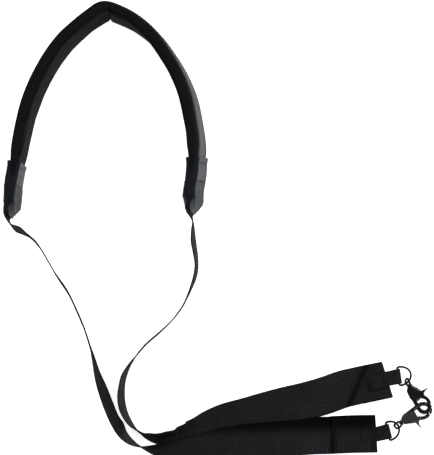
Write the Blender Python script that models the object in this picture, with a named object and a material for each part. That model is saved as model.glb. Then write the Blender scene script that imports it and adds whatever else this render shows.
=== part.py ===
"""Padded equipment shoulder strap, laid on the floor.

A foam pad stands on its long edge, bent into an arch. A flat webbing runs over
its outer face and leaves each end through a sewn tab. The two webbing ends turn
to lie flat, each with a folded hem and a narrow loop that holds a ring. A
swivel trigger hook hangs in each ring, and the two hooks are clipped together.

Lengths are metres and +Z is up. The floor is z = 0.
"""

import math
from collections import namedtuple

import bmesh
import bpy
from mathutils import Matrix, Vector

MM = 0.001

# Clearance between pieces that touch on the real strap, and under the webbing.
GAP = 0.3 * MM
FLOOR_GAP = 0.06 * MM

# Webbing of the strap itself.
WEBBING_WIDTH = 38.0 * MM
WEBBING_THICKNESS = 1.4 * MM

# Foam pad, standing on edge: its width is its height here.
PAD_WIDTH = 57.0 * MM
PAD_THICKNESS = 11.0 * MM
PAD_CORNER = 3.2 * MM
PAD_TAPER = 38.0 * MM
PAD_INSET = 8.0 * MM
PAD_SQUEEZE = 1.4 * MM
PAD_CREASE = 1.1 * MM
PAD_CREASE_REACH = 3.0 * MM

# The arch that the pad is bent into, between the two tab tips.
ARCH_SPAN = 184.5 * MM
ARCH_RISE = 205.0 * MM
ARCH_LEFT = -211.25 * MM
ARCH_FOOT = 20.75 * MM

# Sewn end tabs.
TAB_LENGTH = 60.0 * MM
TAB_WIDTH = 54.0 * MM
TAB_TIP_WIDTH = 48.0 * MM
TAB_WALL = 1.2 * MM
TAB_TIP_WALL = 7.0 * MM
TAB_TAPER = 16.0 * MM
ROOT_LENGTH = 46.0 * MM

# Length over which a strap turns to the heading of its sewn end.
END_TURN = 40.0 * MM

# Narrow webbing loops that hold the rings.
LOOP_WIDTH = 14.6 * MM
LOOP_THICKNESS = 1.2 * MM
LOOP_SEWN = 18.0 * MM
LOOP_REACH = 11.2 * MM

# D-rings. RING_PLAY is the room beside the loop on the bar, LOOP_PLAY the
# room between the bar and the loop that goes round it.
RING_WIRE = 2.2 * MM
RING_DEPTH = 13.0 * MM
RING_CORNER = 1.6 * MM
RING_PLAY = 0.9 * MM
LOOP_PLAY = 0.5 * MM

# Swivel trigger hooks, measured from the middle of the swivel eye.
HOOK_REACH = 28.3 * MM
JAW_OFFSET = 3.5 * MM
JAW_LENGTH = 15.6 * MM
JAW_WIDTH = 13.8 * MM
JAW_WIRE = 4.0 * MM
JAW_DEPTH = 3.4 * MM
BODY_DEPTH = 6.2 * MM
NECK_START = 5.7 * MM
NECK_WIDTH = 5.6 * MM
PIVOT_ALONG = 13.2 * MM
PIVOT_ACROSS = 3.9 * MM
PIVOT_RADIUS = 1.1 * MM
HUB_RADIUS = 2.8 * MM
GATE_DEPTH = 3.0 * MM
GATE_WIRE = 3.6 * MM
GATE_REACH = 19.7 * MM
GATE_LIP = 0.4 * MM
SPUR_REACH = 16.0 * MM
EYE_WIRE = 2.2 * MM
EYE_WIDTH = 7.8 * MM
EYE_LENGTH = 6.4 * MM
EYE_TURN = 60.0
COLLAR_RADIUS = 2.9 * MM
STEM_RADIUS = 1.4 * MM
STEM_HEAD = 2.1 * MM

# Where the clipped jaws lie, from the left tip of the arch.
CLASP_REACH = 415.9 * MM
CLASP_DROP = 199.2 * MM

# One row for each knot of the pad's centre line, from the left tip to the right:
# across in ARCH_SPAN, rise in ARCH_RISE, lean of the top edge in PAD_WIDTH
# toward the inside of the arch.
ArchRow = namedtuple("ArchRow", "across rise lean")
ARCH_ROWS = (
    ArchRow(0.000, 0.000, 0.02),
    ArchRow(0.023, 0.086, 0.02),
    ArchRow(0.048, 0.206, 0.05),
    ArchRow(0.086, 0.404, 0.03),
    ArchRow(0.132, 0.564, 0.02),
    ArchRow(0.214, 0.723, 0.02),
    ArchRow(0.309, 0.847, 0.02),
    ArchRow(0.406, 0.929, 0.02),
    ArchRow(0.472, 0.974, 0.01),
    ArchRow(0.532, 1.004, -0.01),
    ArchRow(0.593, 0.992, -0.03),
    ArchRow(0.703, 0.940, -0.02),
    ArchRow(0.800, 0.866, 0.01),
    ArchRow(0.865, 0.788, 0.02),
    ArchRow(0.935, 0.683, 0.03),
    ArchRow(0.988, 0.568, 0.03),
    ArchRow(1.015, 0.452, 0.03),
    ArchRow(1.032, 0.338, 0.03),
    ArchRow(1.032, 0.222, 0.02),
    ArchRow(1.022, 0.106, 0.02),
    ArchRow(1.018, 0.048, 0.02),
    ArchRow(1.000, 0.000, 0.02),
)

# One row for each knot of a strap's lower edge, from its tab to its end:
# along and down are shares of the way from the tip to the end, drop is the
# share left of the height at which the webbing leaves the tab, layers counts
# webbing layers below it, seat is the share of the lift at the sewn end, and
# foot and top are the tilts of the lower and upper side from upright, in
# degrees, to the left of the way for plus. bend is the share of the width at
# which it bends from one to the other, over a length like that share.
RouteRow = namedtuple("RouteRow", "along down drop layers seat foot top bend")
LEFT_ROWS = (
    RouteRow(0.014, 0.057, 0.90, 0.0, 0.0, 2, 2, 0.55),
    RouteRow(0.039, 0.078, 0.80, 0.0, 0.0, 3, 3, 0.55),
    RouteRow(0.057, 0.095, 0.68, 0.0, 0.0, 0, 0, 0.55),
    RouteRow(0.081, 0.142, 0.58, 0.0, 0.0, 2, 2, 0.55),
    RouteRow(0.101, 0.201, 0.47, 0.0, 0.0, 3, 3, 0.55),
    RouteRow(0.129, 0.290, 0.32, 0.0, 0.0, 3, 3, 0.55),
    RouteRow(0.161, 0.379, 0.16, 0.0, 0.0, 4, 4, 0.55),
    RouteRow(0.184, 0.469, 0.07, 0.0, 0.0, 5, 5, 0.55),
    RouteRow(0.205, 0.558, 0.00, 0.0, 0.0, 5, 5, 0.55),
    RouteRow(0.218, 0.633, 0.00, 0.0, 0.0, 5, 6, 0.55),
    RouteRow(0.225, 0.707, 0.00, 0.0, 0.0, 10, 10, 0.55),
    RouteRow(0.233, 0.797, 0.00, 0.0, 0.0, 15, 15, 0.55),
    RouteRow(0.244, 0.871, 0.00, 0.0, 0.0, 19, 19, 0.55),
    RouteRow(0.261, 0.956, 0.00, 0.0, 0.0, 20, 20, 0.55),
    RouteRow(0.279, 1.026, 0.00, 0.0, 0.0, 19, 19, 0.55),
    RouteRow(0.299, 1.079, 0.00, 0.0, 0.0, 18, 20, 0.55),
    RouteRow(0.322, 1.112, 0.00, 0.2, 0.0, 10, 14, 0.55),
    RouteRow(0.354, 1.130, 0.00, 0.8, 0.0, -4, 5, 0.55),
    RouteRow(0.389, 1.127, 0.00, 2.0, 0.0, -24, -10, 0.55),
    RouteRow(0.422, 1.116, 0.00, 2.6, 0.0, -44, -24, 0.55),
    RouteRow(0.458, 1.103, 0.00, 2.6, 0.0, -60, -36, 0.55),
    RouteRow(0.524, 1.074, 0.00, 2.2, 0.0, -72, -52, 0.55),
    RouteRow(0.576, 1.050, 0.00, 1.8, 0.0, -78, -60, 0.55),
    RouteRow(0.628, 1.035, 0.00, 1.6, 0.0, -80, -66, 0.55),
    RouteRow(0.682, 1.027, 0.00, 1.5, 0.0, -82, -68, 0.55),
    RouteRow(0.737, 1.020, 0.00, 1.4, 0.0, -82, -70, 0.55),
    RouteRow(0.792, 1.014, 0.00, 1.4, 0.0, -84, -74, 0.55),
    RouteRow(0.842, 1.004, 0.00, 1.3, 0.2, -89, -83, 0.55),
    RouteRow(0.878, 1.002, 0.00, 0.6, 0.7, -90, -90, 0.55),
    RouteRow(0.912, 1.000, 0.00, 0.0, 1.0, -90, -90, 0.55),
    RouteRow(0.956, 0.999, 0.00, 0.0, 1.0, -90, -90, 0.55),
    RouteRow(1.000, 1.000, 0.00, 0.0, 1.0, -90, -90, 0.55),
)
RIGHT_ROWS = (
    RouteRow(0.006, 0.058, 0.95, 0.0, 0.0, 6, 6, 0.55),
    RouteRow(0.011, 0.110, 0.84, 0.0, 0.0, 3, 3, 0.55),
    RouteRow(0.018, 0.171, 0.74, 0.0, 0.0, 0, 0, 0.55),
    RouteRow(0.024, 0.230, 0.63, 0.0, 0.0, 1, 1, 0.55),
    RouteRow(0.023, 0.294, 0.53, 0.0, 0.0, 4, 4, 0.55),
    RouteRow(0.010, 0.347, 0.42, 0.0, 0.0, 6, 6, 0.55),
    RouteRow(-0.010, 0.395, 0.37, 0.0, 0.0, 8, 8, 0.55),
    RouteRow(-0.033, 0.443, 0.32, 0.0, 0.0, 10, 10, 0.55),
    RouteRow(-0.061, 0.496, 0.26, 0.0, 0.0, 11, 11, 0.55),
    RouteRow(-0.109, 0.559, 0.21, 0.0, 0.0, 12, 12, 0.55),
    RouteRow(-0.175, 0.622, 0.16, 0.0, 0.0, 13, 13, 0.55),
    RouteRow(-0.245, 0.685, 0.10, 0.0, 0.0, 13, 13, 0.55),
    RouteRow(-0.295, 0.749, 0.05, 0.0, 0.0, 12, 12, 0.55),
    RouteRow(-0.328, 0.812, 0.00, 0.0, 0.0, 8, 8, 0.55),
    RouteRow(-0.347, 0.877, 0.00, 0.0, 0.0, 3, 3, 0.55),
    RouteRow(-0.352, 0.942, 0.00, 0.0, 0.0, 0, 0, 0.55),
    RouteRow(-0.348, 0.996, 0.00, 0.0, 0.0, -3, -3, 0.55),
    RouteRow(-0.333, 1.056, 0.00, 0.0, 0.0, -5, -5, 0.55),
    RouteRow(-0.310, 1.106, 0.00, 0.0, 0.0, -5, -5, 0.55),
    RouteRow(-0.287, 1.144, 0.00, 0.0, 0.0, -3, -4, 0.55),
    RouteRow(-0.257, 1.174, 0.00, 0.0, 0.0, -1, 0, 0.55),
    RouteRow(-0.221, 1.204, 0.00, 0.0, 0.0, 0, 2, 0.55),
    RouteRow(-0.187, 1.222, 0.00, 0.0, 0.0, 30, 3, 0.32),
    RouteRow(-0.152, 1.245, 0.00, 0.0, 0.0, 68, 4, 0.42),
    RouteRow(-0.110, 1.269, 0.00, 0.0, 0.0, 88, 7, 0.45),
    RouteRow(-0.060, 1.280, 0.00, 0.0, 0.0, 90, 14, 0.48),
    RouteRow(0.000, 1.279, 0.00, 0.0, 0.0, 90, 32, 0.50),
    RouteRow(0.060, 1.258, 0.00, 0.0, 0.0, 90, 52, 0.55),
    RouteRow(0.130, 1.230, 0.00, 0.0, 0.0, 90, 61, 0.55),
    RouteRow(0.198, 1.205, 0.00, 0.0, 0.0, 90, 67, 0.55),
    RouteRow(0.286, 1.183, 0.00, 0.0, 0.0, 90, 71, 0.55),
    RouteRow(0.392, 1.152, 0.00, 0.0, 0.0, 90, 75, 0.55),
    RouteRow(0.493, 1.128, 0.00, 0.0, 0.0, 90, 76, 0.55),
    RouteRow(0.591, 1.106, 0.00, 0.0, 0.0, 90, 76, 0.55),
    RouteRow(0.691, 1.078, 0.00, 0.0, 0.0, 90, 78, 0.55),
    RouteRow(0.782, 1.046, 0.00, 0.0, 0.4, 90, 86, 0.55),
    RouteRow(0.832, 1.035, 0.00, 0.0, 1.0, 90, 90, 0.55),
    RouteRow(0.882, 1.024, 0.00, 0.0, 1.0, 90, 90, 0.55),
    RouteRow(1.000, 1.000, 0.00, 0.0, 1.0, 90, 90, 0.55),
)

# One row for each side of the strap. heading, pitch and roll place the hook,
# jaw_shift and jaw_height place the middle of its jaw from the clasp point,
# ring_turn is the heading of the ring, ring_angle is where the eye hangs on
# the ring's bow, outer_up says whether the webbing's outer face looks up at
# the sewn end, hem is the length of the folded end, end_heading is the way the
# sewn end points, loop_heading is the way from it to the ring's bar, and
# tilt_side is the side to which the webbing fell.
SideRow = namedtuple(
    "SideRow",
    "name jaw_shift_x jaw_shift_y jaw_height eye_height heading roll gate_side"
    " ring_turn ring_angle outer_up hem end_heading loop_heading tilt_side",
)
SIDES = (
    SideRow("right", 0.5 * MM, 3.1 * MM, 7.3 * MM, 6.3 * MM, -61.6, 25.8, 1,
            8.1, -52.0, True, 30.0 * MM, 17.1, 12.0, 1),
    SideRow("left", -0.5 * MM, -3.1 * MM, 5.8 * MM, 5.9 * MM, 36.0, 20.7, -1,
            14.0, 17.0, False, 44.0 * MM, 3.4, 11.5, -1),
)

COLOURS = {
    "foam": ((0.011, 0.012, 0.013), 0.75, 0.0),
    "webbing": ((0.014, 0.015, 0.016), 0.65, 0.0),
    "pad_webbing": ((0.055, 0.058, 0.062), 0.65, 0.0),
    "tab": ((0.035, 0.038, 0.042), 0.5, 0.0),
    "steel": ((0.03, 0.03, 0.03), 0.3, 1.0),
}


class Path:
    """A smooth curve through rows of numbers, read by its length in plan."""

    STEPS = 10

    def __init__(self, rows):
        self.rows = []
        knots = [0.0]
        for a, b in zip(rows, rows[1:]):
            knots.append(knots[-1] + math.dist(a[:2], b[:2]))
        slopes = []
        for i in range(len(rows)):
            lo = max(i - 1, 0)
            hi = min(i + 1, len(rows) - 1)
            span = knots[hi] - knots[lo]
            slopes.append([(q - p) / span for p, q in zip(rows[lo], rows[hi])])
        for i in range(len(rows) - 1):
            width = knots[i + 1] - knots[i]
            for step in range(self.STEPS):
                f = step / self.STEPS
                self.rows.append(self.hermite(rows, slopes, i, width, f))
        self.rows.append(list(rows[-1]))
        self.marks = [0.0]
        for a, b in zip(self.rows, self.rows[1:]):
            self.marks.append(self.marks[-1] + math.dist(a[:2], b[:2]))
        self.length = self.marks[-1]

    @staticmethod
    def hermite(rows, slopes, i, width, f):
        """One point of the cubic between knots i and i + 1."""
        h00 = 2 * f**3 - 3 * f**2 + 1
        h10 = f**3 - 2 * f**2 + f
        h01 = -2 * f**3 + 3 * f**2
        h11 = f**3 - f**2
        return [
            h00 * p + h10 * width * m + h01 * q + h11 * width * n
            for p, m, q, n in zip(rows[i], slopes[i], rows[i + 1], slopes[i + 1])
        ]

    def at(self, distance):
        """The row at a distance from the start."""
        last = len(self.marks) - 2
        i = 0
        while i < last and self.marks[i + 1] < distance:
            i += 1
        span = self.marks[i + 1] - self.marks[i]
        f = (distance - self.marks[i]) / span
        return [p + (q - p) * f for p, q in zip(self.rows[i], self.rows[i + 1])]

    def heading(self, distance):
        """The unit direction in plan at a distance from the start."""
        reach = 1.0 * MM
        middle = min(max(distance, reach), self.length - reach)
        a = self.at(middle - reach)
        b = self.at(middle + reach)
        return Vector((b[0] - a[0], b[1] - a[1], 0.0)).normalized()


def left_of(direction):
    """The horizontal direction to the left of a heading."""
    return Vector((-direction.y, direction.x, 0.0))


def compass(degrees):
    """The unit vector of a heading, counted from +X toward +Y."""
    angle = math.radians(degrees)
    return Vector((math.cos(angle), math.sin(angle), 0.0))


def ease(value):
    """A smooth step from 0 to 1."""
    f = min(max(value, 0.0), 1.0)
    return f * f * (3.0 - 2.0 * f)


def mix(a, b, f):
    """The value a share f of the way from a to b."""
    return a + (b - a) * f


def evenly(start, stop, count):
    """Count values from start to stop, both included."""
    return [mix(start, stop, i / (count - 1)) for i in range(count)]


def material(name):
    """A Principled material for one of the strap's stuffs."""
    colour, roughness, metallic = COLOURS[name]
    found = bpy.data.materials.get(name)
    if found is None:
        found = bpy.data.materials.new(name)
        found.use_nodes = True
        shader = found.node_tree.nodes["Principled BSDF"]
        shader.inputs["Base Color"].default_value = (*colour, 1.0)
        shader.inputs["Roughness"].default_value = roughness
        shader.inputs["Metallic"].default_value = metallic
        found.diffuse_color = (*colour, 1.0)
    return found


def add_object(name, verts, faces, stuff, frame=None, parent=None):
    """Link a closed mesh, with its normals outward, as one object."""
    mesh = bpy.data.meshes.new(name)
    mesh.from_pydata([tuple(v) for v in verts], [], faces)
    shell = bmesh.new()
    shell.from_mesh(mesh)
    bmesh.ops.recalc_face_normals(shell, faces=shell.faces)
    shell.to_mesh(mesh)
    shell.free()
    mesh.shade_smooth()
    mesh.set_sharp_from_angle(angle=math.radians(35.0))
    obj = bpy.data.objects.new(name, mesh)
    bpy.context.scene.collection.objects.link(obj)
    obj.data.materials.append(material(stuff))
    if parent is not None:
        obj.parent = parent
    if frame is not None:
        obj.matrix_basis = frame
    return obj


def as_cutter(obj):
    """Keep an object as a cutter only."""
    obj.hide_render = True
    obj.display_type = "WIRE"
    return obj


def cut(obj, cutter, operation="DIFFERENCE"):
    """Combine an object with a cutter by an exact Boolean."""
    step = obj.modifiers.new(cutter.name, "BOOLEAN")
    step.operation = operation
    step.solver = "EXACT"
    step.object = as_cutter(cutter)


def loft(sections, closed=False):
    """Vertices and faces of a closed skin through rings of points."""
    size = len(sections[0])
    verts = [point for ring in sections for point in ring]
    faces = []
    count = len(sections)
    last = count if closed else count - 1
    for i in range(last):
        j = (i + 1) % count
        for k in range(size):
            n = (k + 1) % size
            faces.append((i * size + k, i * size + n, j * size + n, j * size + k))
    if not closed:
        faces.append(tuple(range(size)))
        faces.append(tuple(range((count - 1) * size, count * size)))
    return verts, faces


def split_quads(faces):
    """The same faces with each quad split in two, for a skin that twists."""
    parts = []
    for face in faces:
        if len(face) == 4:
            a, b, c, d = face
            parts += [(a, b, c), (a, c, d)]
        else:
            parts.append(face)
    return parts


def rounded_box(inner, outer, low, high, corner, steps=3):
    """Points of a rounded rectangle as (across, height) pairs."""
    radius = min(corner, (outer - inner) * 0.45, (high - low) * 0.45)
    corners = (
        (outer - radius, high - radius, 0.0),
        (inner + radius, high - radius, 90.0),
        (inner + radius, low + radius, 180.0),
        (outer - radius, low + radius, 270.0),
    )
    points = []
    for across, height, start in corners:
        for i in range(steps):
            angle = math.radians(start + 90.0 * i / (steps - 1))
            points.append((across + radius * math.cos(angle), height + radius * math.sin(angle)))
    return points


def tube_rings(points, normals, half_across, half_up, up, sides, closed):
    """Rings of an oval tube along points that lie in one plane."""
    rings = []
    half_across /= math.cos(math.pi / sides)
    half_up /= math.cos(math.pi / sides)
    for point, normal in zip(points, normals):
        ring = []
        for k in range(sides):
            angle = 2.0 * math.pi * (k + 0.5) / sides
            ring.append(
                point + normal * (half_across * math.cos(angle)) + up * (half_up * math.sin(angle))
            )
        rings.append(ring)
    return loft(rings, closed)


def plane_tube(pairs, across, depth, sides=8, closed=False):
    """A tube along (x, y) pairs in the XY plane: its wire across and its depth."""
    points = [Vector((x, y, 0.0)) for x, y in pairs]
    count = len(points)
    normals = []
    for i in range(count):
        before = points[(i - 1) % count] if closed or i > 0 else points[0]
        after = points[(i + 1) % count] if closed or i < count - 1 else points[-1]
        normals.append(left_of((after - before).normalized()))
    up = Vector((0.0, 0.0, 1.0))
    return tube_rings(points, normals, across / 2, depth / 2, up, sides, closed)


def slab(pairs, depth):
    """A flat plate with the outline of (x, y) pairs, centred on z = 0."""
    sections = [[Vector((x, y, z)) for x, y in pairs] for z in (-depth / 2, depth / 2)]
    return loft(sections)


def turned(profile, sides=16):
    """A solid turned about X from (x, radius) pairs that start and end on it."""
    rings = []
    for x, radius in profile:
        ring = []
        for k in range(sides):
            angle = 2.0 * math.pi * k / sides
            ring.append(Vector((x, radius * math.cos(angle), radius * math.sin(angle))))
        rings.append(ring)
    return loft(rings)


def bar(start, stop, radius, sides=16):
    """A round bar along Z."""
    rings = []
    for z in (start, stop):
        ring = []
        for k in range(sides):
            angle = 2.0 * math.pi * k / sides
            ring.append(Vector((radius * math.cos(angle), radius * math.sin(angle), z)))
        rings.append(ring)
    return loft(rings)


def ribbon(sections, thickness):
    """A band of even thickness whose middle runs through rows of points."""
    count = len(sections)
    size = len(sections[0])
    rings = []
    for i in range(count):
        ahead = sections[min(i + 1, count - 1)]
        behind = sections[max(i - 1, 0)]
        front = []
        back = []
        for k in range(size):
            along = ahead[k] - behind[k]
            across = sections[i][min(k + 1, size - 1)] - sections[i][max(k - 1, 0)]
            normal = along.cross(across).normalized() * (thickness / 2)
            front.append(sections[i][k] + normal)
            back.append(sections[i][k] - normal)
        rings.append(front + back[::-1])
    verts, faces = loft(rings)
    return verts, split_quads(faces)


def arch_path():
    """The pad's centre line in plan, with the lean of its top edge."""
    return Path([
        (ARCH_LEFT + row.across * ARCH_SPAN, ARCH_FOOT + row.rise * ARCH_RISE, row.lean)
        for row in ARCH_ROWS
    ])


def arch_point(path, distance, across, height):
    """A point of the arch: across is outward from its centre line."""
    x, y, lean = path.at(distance)
    outward = left_of(path.heading(distance))
    shift = across - lean * (height - PAD_WIDTH / 2)
    return Vector((x, y, 0.0)) + outward * shift + Vector((0.0, 0.0, height))


def pad_faces(path, distance):
    """Inner face, outer face and edge inset of the pad at a distance."""
    end = min(distance, path.length - distance) - PAD_INSET
    f = ease(end / PAD_TAPER)
    mouth = (end + PAD_INSET - TAB_LENGTH) / (PAD_INSET * 2) + 0.5
    squeeze = PAD_SQUEEZE * (1.0 - ease(mouth))
    outer = mix(-(WEBBING_THICKNESS / 2 + GAP), PAD_THICKNESS / 2 - squeeze, f)
    inner = mix(-PAD_THICKNESS * 0.42, -PAD_THICKNESS / 2 + squeeze, f)
    inset = mix((PAD_WIDTH - WEBBING_WIDTH) * 0.42, 0.0, f)
    return inner, outer, inset


def pad_stations(path):
    """Distances of the pad's sections, close together at its ends."""
    start = PAD_INSET
    stop = path.length - PAD_INSET
    shoulder = PAD_TAPER
    near = evenly(start, start + shoulder, 9)
    middle = evenly(start + shoulder, stop - shoulder, 67)
    far = evenly(stop - shoulder, stop, 9)
    return near[:-1] + middle + far[1:]


def webbing_offset(path, distance):
    """Where the webbing's middle lies outward of the arch's centre line."""
    return pad_faces(path, max(distance, PAD_INSET))[1] + GAP + WEBBING_THICKNESS / 2


def build_pad(path):
    """The foam pad in its cover."""
    crest = path.length * 0.51
    sections = []
    for distance in pad_stations(path):
        inner, outer, inset = pad_faces(path, distance)
        dent = PAD_CREASE * math.exp(-(((distance - crest) / PAD_CREASE_REACH) ** 2))
        outline = rounded_box(inner + dent, outer, inset, PAD_WIDTH - inset - dent, PAD_CORNER)
        sections.append([arch_point(path, distance, a, h) for a, h in outline])
    add_object("pad", *loft(sections), "foam")


def build_pad_webbing(path):
    """The webbing sewn along the pad's outer face, between the straps' roots."""
    low = (PAD_WIDTH - WEBBING_WIDTH) / 2
    start = ROOT_LENGTH + GAP
    sections = []
    for distance in evenly(start, path.length - start, 61):
        offset = webbing_offset(path, distance)
        sections.append([
            arch_point(path, distance, offset, height) for height in (low, low + WEBBING_WIDTH)
        ])
    add_object("pad_webbing", *ribbon(sections, WEBBING_THICKNESS), "pad_webbing")


def build_tab(path, name, from_start):
    """A sewn tab: two panels that meet round the webbing at the tip."""
    def point(distance, across, height):
        place = distance if from_start else path.length - distance
        return arch_point(path, place, across, height)

    def outline(distance, wall, width, corner):
        place = distance if from_start else path.length - distance
        inner, _, _ = pad_faces(path, min(max(place, PAD_INSET), path.length - PAD_INSET))
        outer = webbing_offset(path, min(max(place, PAD_INSET), path.length - PAD_INSET))
        outer += WEBBING_THICKNESS / 2
        low = (PAD_WIDTH - width) / 2
        return rounded_box(inner - wall, outer + wall, low, low + width, corner)

    skin = []
    tip_inner = -(WEBBING_THICKNESS / 2 + GAP + TAB_WALL * 1.8)
    for distance in evenly(0.0, TAB_LENGTH, 22):
        width = mix(TAB_TIP_WIDTH, TAB_WIDTH, ease(distance / TAB_TAPER))
        ring = outline(distance, GAP + TAB_WALL, width, PAD_CORNER * 0.6)
        full = min(a for a, _ in ring)
        pinch = mix(tip_inner / full, 1.0, ease(distance / TAB_TIP_WALL))
        skin.append([point(distance, a * pinch if a < 0.0 else a, h) for a, h in ring])
    tab = add_object(name, *loft(skin), "tab")
    hollow = []
    for distance in evenly(TAB_TIP_WALL, TAB_LENGTH + TAB_TIP_WALL, 22):
        ring = outline(distance, GAP, PAD_WIDTH + 2 * TAB_TIP_WALL, 0.2 * MM)
        hollow.append([point(distance, a, h) for a, h in ring])
    cut(tab, add_object(name + "_hollow", *loft(hollow), "tab"))
    slot = []
    low = (PAD_WIDTH - WEBBING_WIDTH) / 2 - GAP
    for distance in evenly(-TAB_TIP_WALL, TAB_TIP_WALL + GAP * 4, 7):
        half = WEBBING_THICKNESS / 2 + GAP
        ring = rounded_box(-half, half, low, low + WEBBING_WIDTH + 2 * GAP, 0.2 * MM)
        slot.append([point(distance, a, h) for a, h in ring])
    cut(tab, add_object(name + "_slot", *loft(slot), "tab"))


def stack_heights(side):
    """Heights of the sewn end's layers: sewn strap, hem, outer and inner leg."""
    band = WEBBING_THICKNESS + GAP
    leg = LOOP_THICKNESS + GAP
    seat = GAP * 2
    if side.outer_up:
        hem = WEBBING_THICKNESS / 2 + FLOOR_GAP
        strap = hem + band
        inner_leg = strap + WEBBING_THICKNESS / 2 + seat + LOOP_THICKNESS / 2
        return strap, hem, inner_leg + leg, inner_leg
    outer_leg = LOOP_THICKNESS / 2 + FLOOR_GAP
    strap = outer_leg + leg + LOOP_THICKNESS / 2 + seat + WEBBING_THICKNESS / 2
    return strap, strap + band, outer_leg, outer_leg + leg


def hook_frame(side):
    """The hook's frame: +X to the jaw, +Y to the gate, origin in the eye."""
    flat = compass(side.heading)
    rise = side.jaw_height - side.eye_height
    along = (flat * math.sqrt(HOOK_REACH**2 - rise**2) + Vector((0.0, 0.0, rise))) / HOOK_REACH
    level = left_of(flat) * side.gate_side
    tilt = math.radians(side.roll)
    up = along.cross(level).normalized()
    gate = (level * math.cos(tilt) + up * math.sin(tilt)).normalized()
    deep = along.cross(gate).normalized()
    clasp = Vector((ARCH_LEFT + CLASP_REACH, ARCH_FOOT - CLASP_DROP, 0.0))
    jaw = clasp + Vector((side.jaw_shift_x, side.jaw_shift_y, side.jaw_height))
    eye = jaw - along * HOOK_REACH - gate * JAW_OFFSET
    return Matrix((
        (along.x, gate.x, deep.x, eye.x),
        (along.y, gate.y, deep.y, eye.y),
        (along.z, gate.z, deep.z, eye.z),
        (0.0, 0.0, 0.0, 1.0),
    ))


def ring_half():
    """Half the width of the ring's centre line."""
    return LOOP_WIDTH / 2 + RING_PLAY / 2 + RING_CORNER


def bow_point(angle):
    """A point of the ring's bow, in the ring's frame."""
    turn = math.radians(angle)
    reach = RING_DEPTH - RING_CORNER
    return RING_CORNER + reach * math.cos(turn), ring_half() * math.sin(turn)


def ring_frame(side):
    """The ring's frame: origin mid-bar, +X to the bow, +Y along the bar."""
    eye = hook_frame(side).translation
    reach, aside = bow_point(side.ring_angle)
    _, _, outer_leg, _ = stack_heights(side)
    wrap = RING_WIRE / 2 + LOOP_PLAY + LOOP_THICKNESS / 2
    bar_height = outer_leg - wrap if side.outer_up else outer_leg + wrap
    rise = eye.z - bar_height
    flat = compass(side.ring_turn)
    along = flat * math.sqrt(reach**2 - rise**2) + Vector((0.0, 0.0, rise))
    along.normalize()
    aside_axis = left_of(flat)
    up = along.cross(aside_axis)
    place = eye - along * reach - aside_axis * aside
    return Matrix((
        (along.x, aside_axis.x, up.x, place.x),
        (along.y, aside_axis.y, up.y, place.y),
        (along.z, aside_axis.z, up.z, place.z),
        (0.0, 0.0, 0.0, 1.0),
    ))


def strap_end(side):
    """Middle of the strap's folded end, in plan, and the way that it points."""
    ring = ring_frame(side)
    way = compass(side.end_heading)
    bar_middle = Vector((ring.translation.x, ring.translation.y, 0.0))
    return bar_middle - compass(side.loop_heading) * LOOP_REACH, way


def cross_profile(foot, top, bend, left, width, parts=6):
    """Offsets of a webbing's cross-section from its lower edge."""
    points = [Vector((0.0, 0.0, 0.0))]
    for i in range(parts):
        share = ease(((i + 0.5) / parts - bend) / bend + 0.5)
        angle = math.radians(mix(foot, top, share))
        step = width / parts
        rise = Vector((0.0, 0.0, step * math.cos(angle)))
        points.append(points[-1] + left * (step * math.sin(angle)) + rise)
    return points


def build_strap(path, side, rows):
    """One strap: its root under the tab, its way over the floor and its hem."""
    from_start = side.name == "left"
    tip_distance = 0.0 if from_start else path.length
    tip = Vector(path.at(tip_distance)[:2])
    leave = (PAD_WIDTH - WEBBING_WIDTH) / 2
    middle, way = strap_end(side)
    left = left_of(way)
    edge = middle - left * (side.tilt_side * WEBBING_WIDTH / 2)
    strap_height, hem_height, _, _ = stack_heights(side)
    fold = abs(strap_height - hem_height) / 2
    stop = edge - way * (fold + WEBBING_THICKNESS / 2)
    table = []
    for share in evenly(ROOT_LENGTH, 0.0, 8) + [-2.0 * MM]:
        place = share if from_start else path.length - share
        low = arch_point(path, place, webbing_offset(path, place), leave)
        lean = math.degrees(path.at(place)[2]) * (1.0 if from_start else -1.0)
        table.append((low.x, low.y, leave, lean, lean, 0.5))
    for row in rows:
        x = tip.x + row.along * (stop.x - tip.x)
        y = tip.y + row.down * (stop.y - tip.y)
        lift = row.drop * leave + row.layers * (WEBBING_THICKNESS + GAP)
        lift += row.seat * (strap_height - WEBBING_THICKNESS / 2 - FLOOR_GAP)
        table.append((x, y, lift, row.foot, row.top, row.bend))
    route = Path(table)
    sections = []
    for distance in evenly(0.0, route.length, 96):
        x, y, lift, foot, top, bend = route.at(distance)
        base = FLOOR_GAP + WEBBING_THICKNESS / 2 * abs(math.sin(math.radians(foot)))
        turn = ease((distance - route.length) / END_TURN + 1.0)
        aside = (left_of(route.heading(distance)) * (1.0 - turn) + left * turn).normalized()
        start = Vector((x, y, lift + base))
        offsets = cross_profile(foot, top, bend, aside, WEBBING_WIDTH)
        sections.append([start + offset for offset in offsets])
    sections += hem_sections(stop, way, side, strap_height, hem_height, sections[-1])
    add_object("strap_" + side.name, *ribbon(sections, WEBBING_THICKNESS), "webbing")


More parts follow.
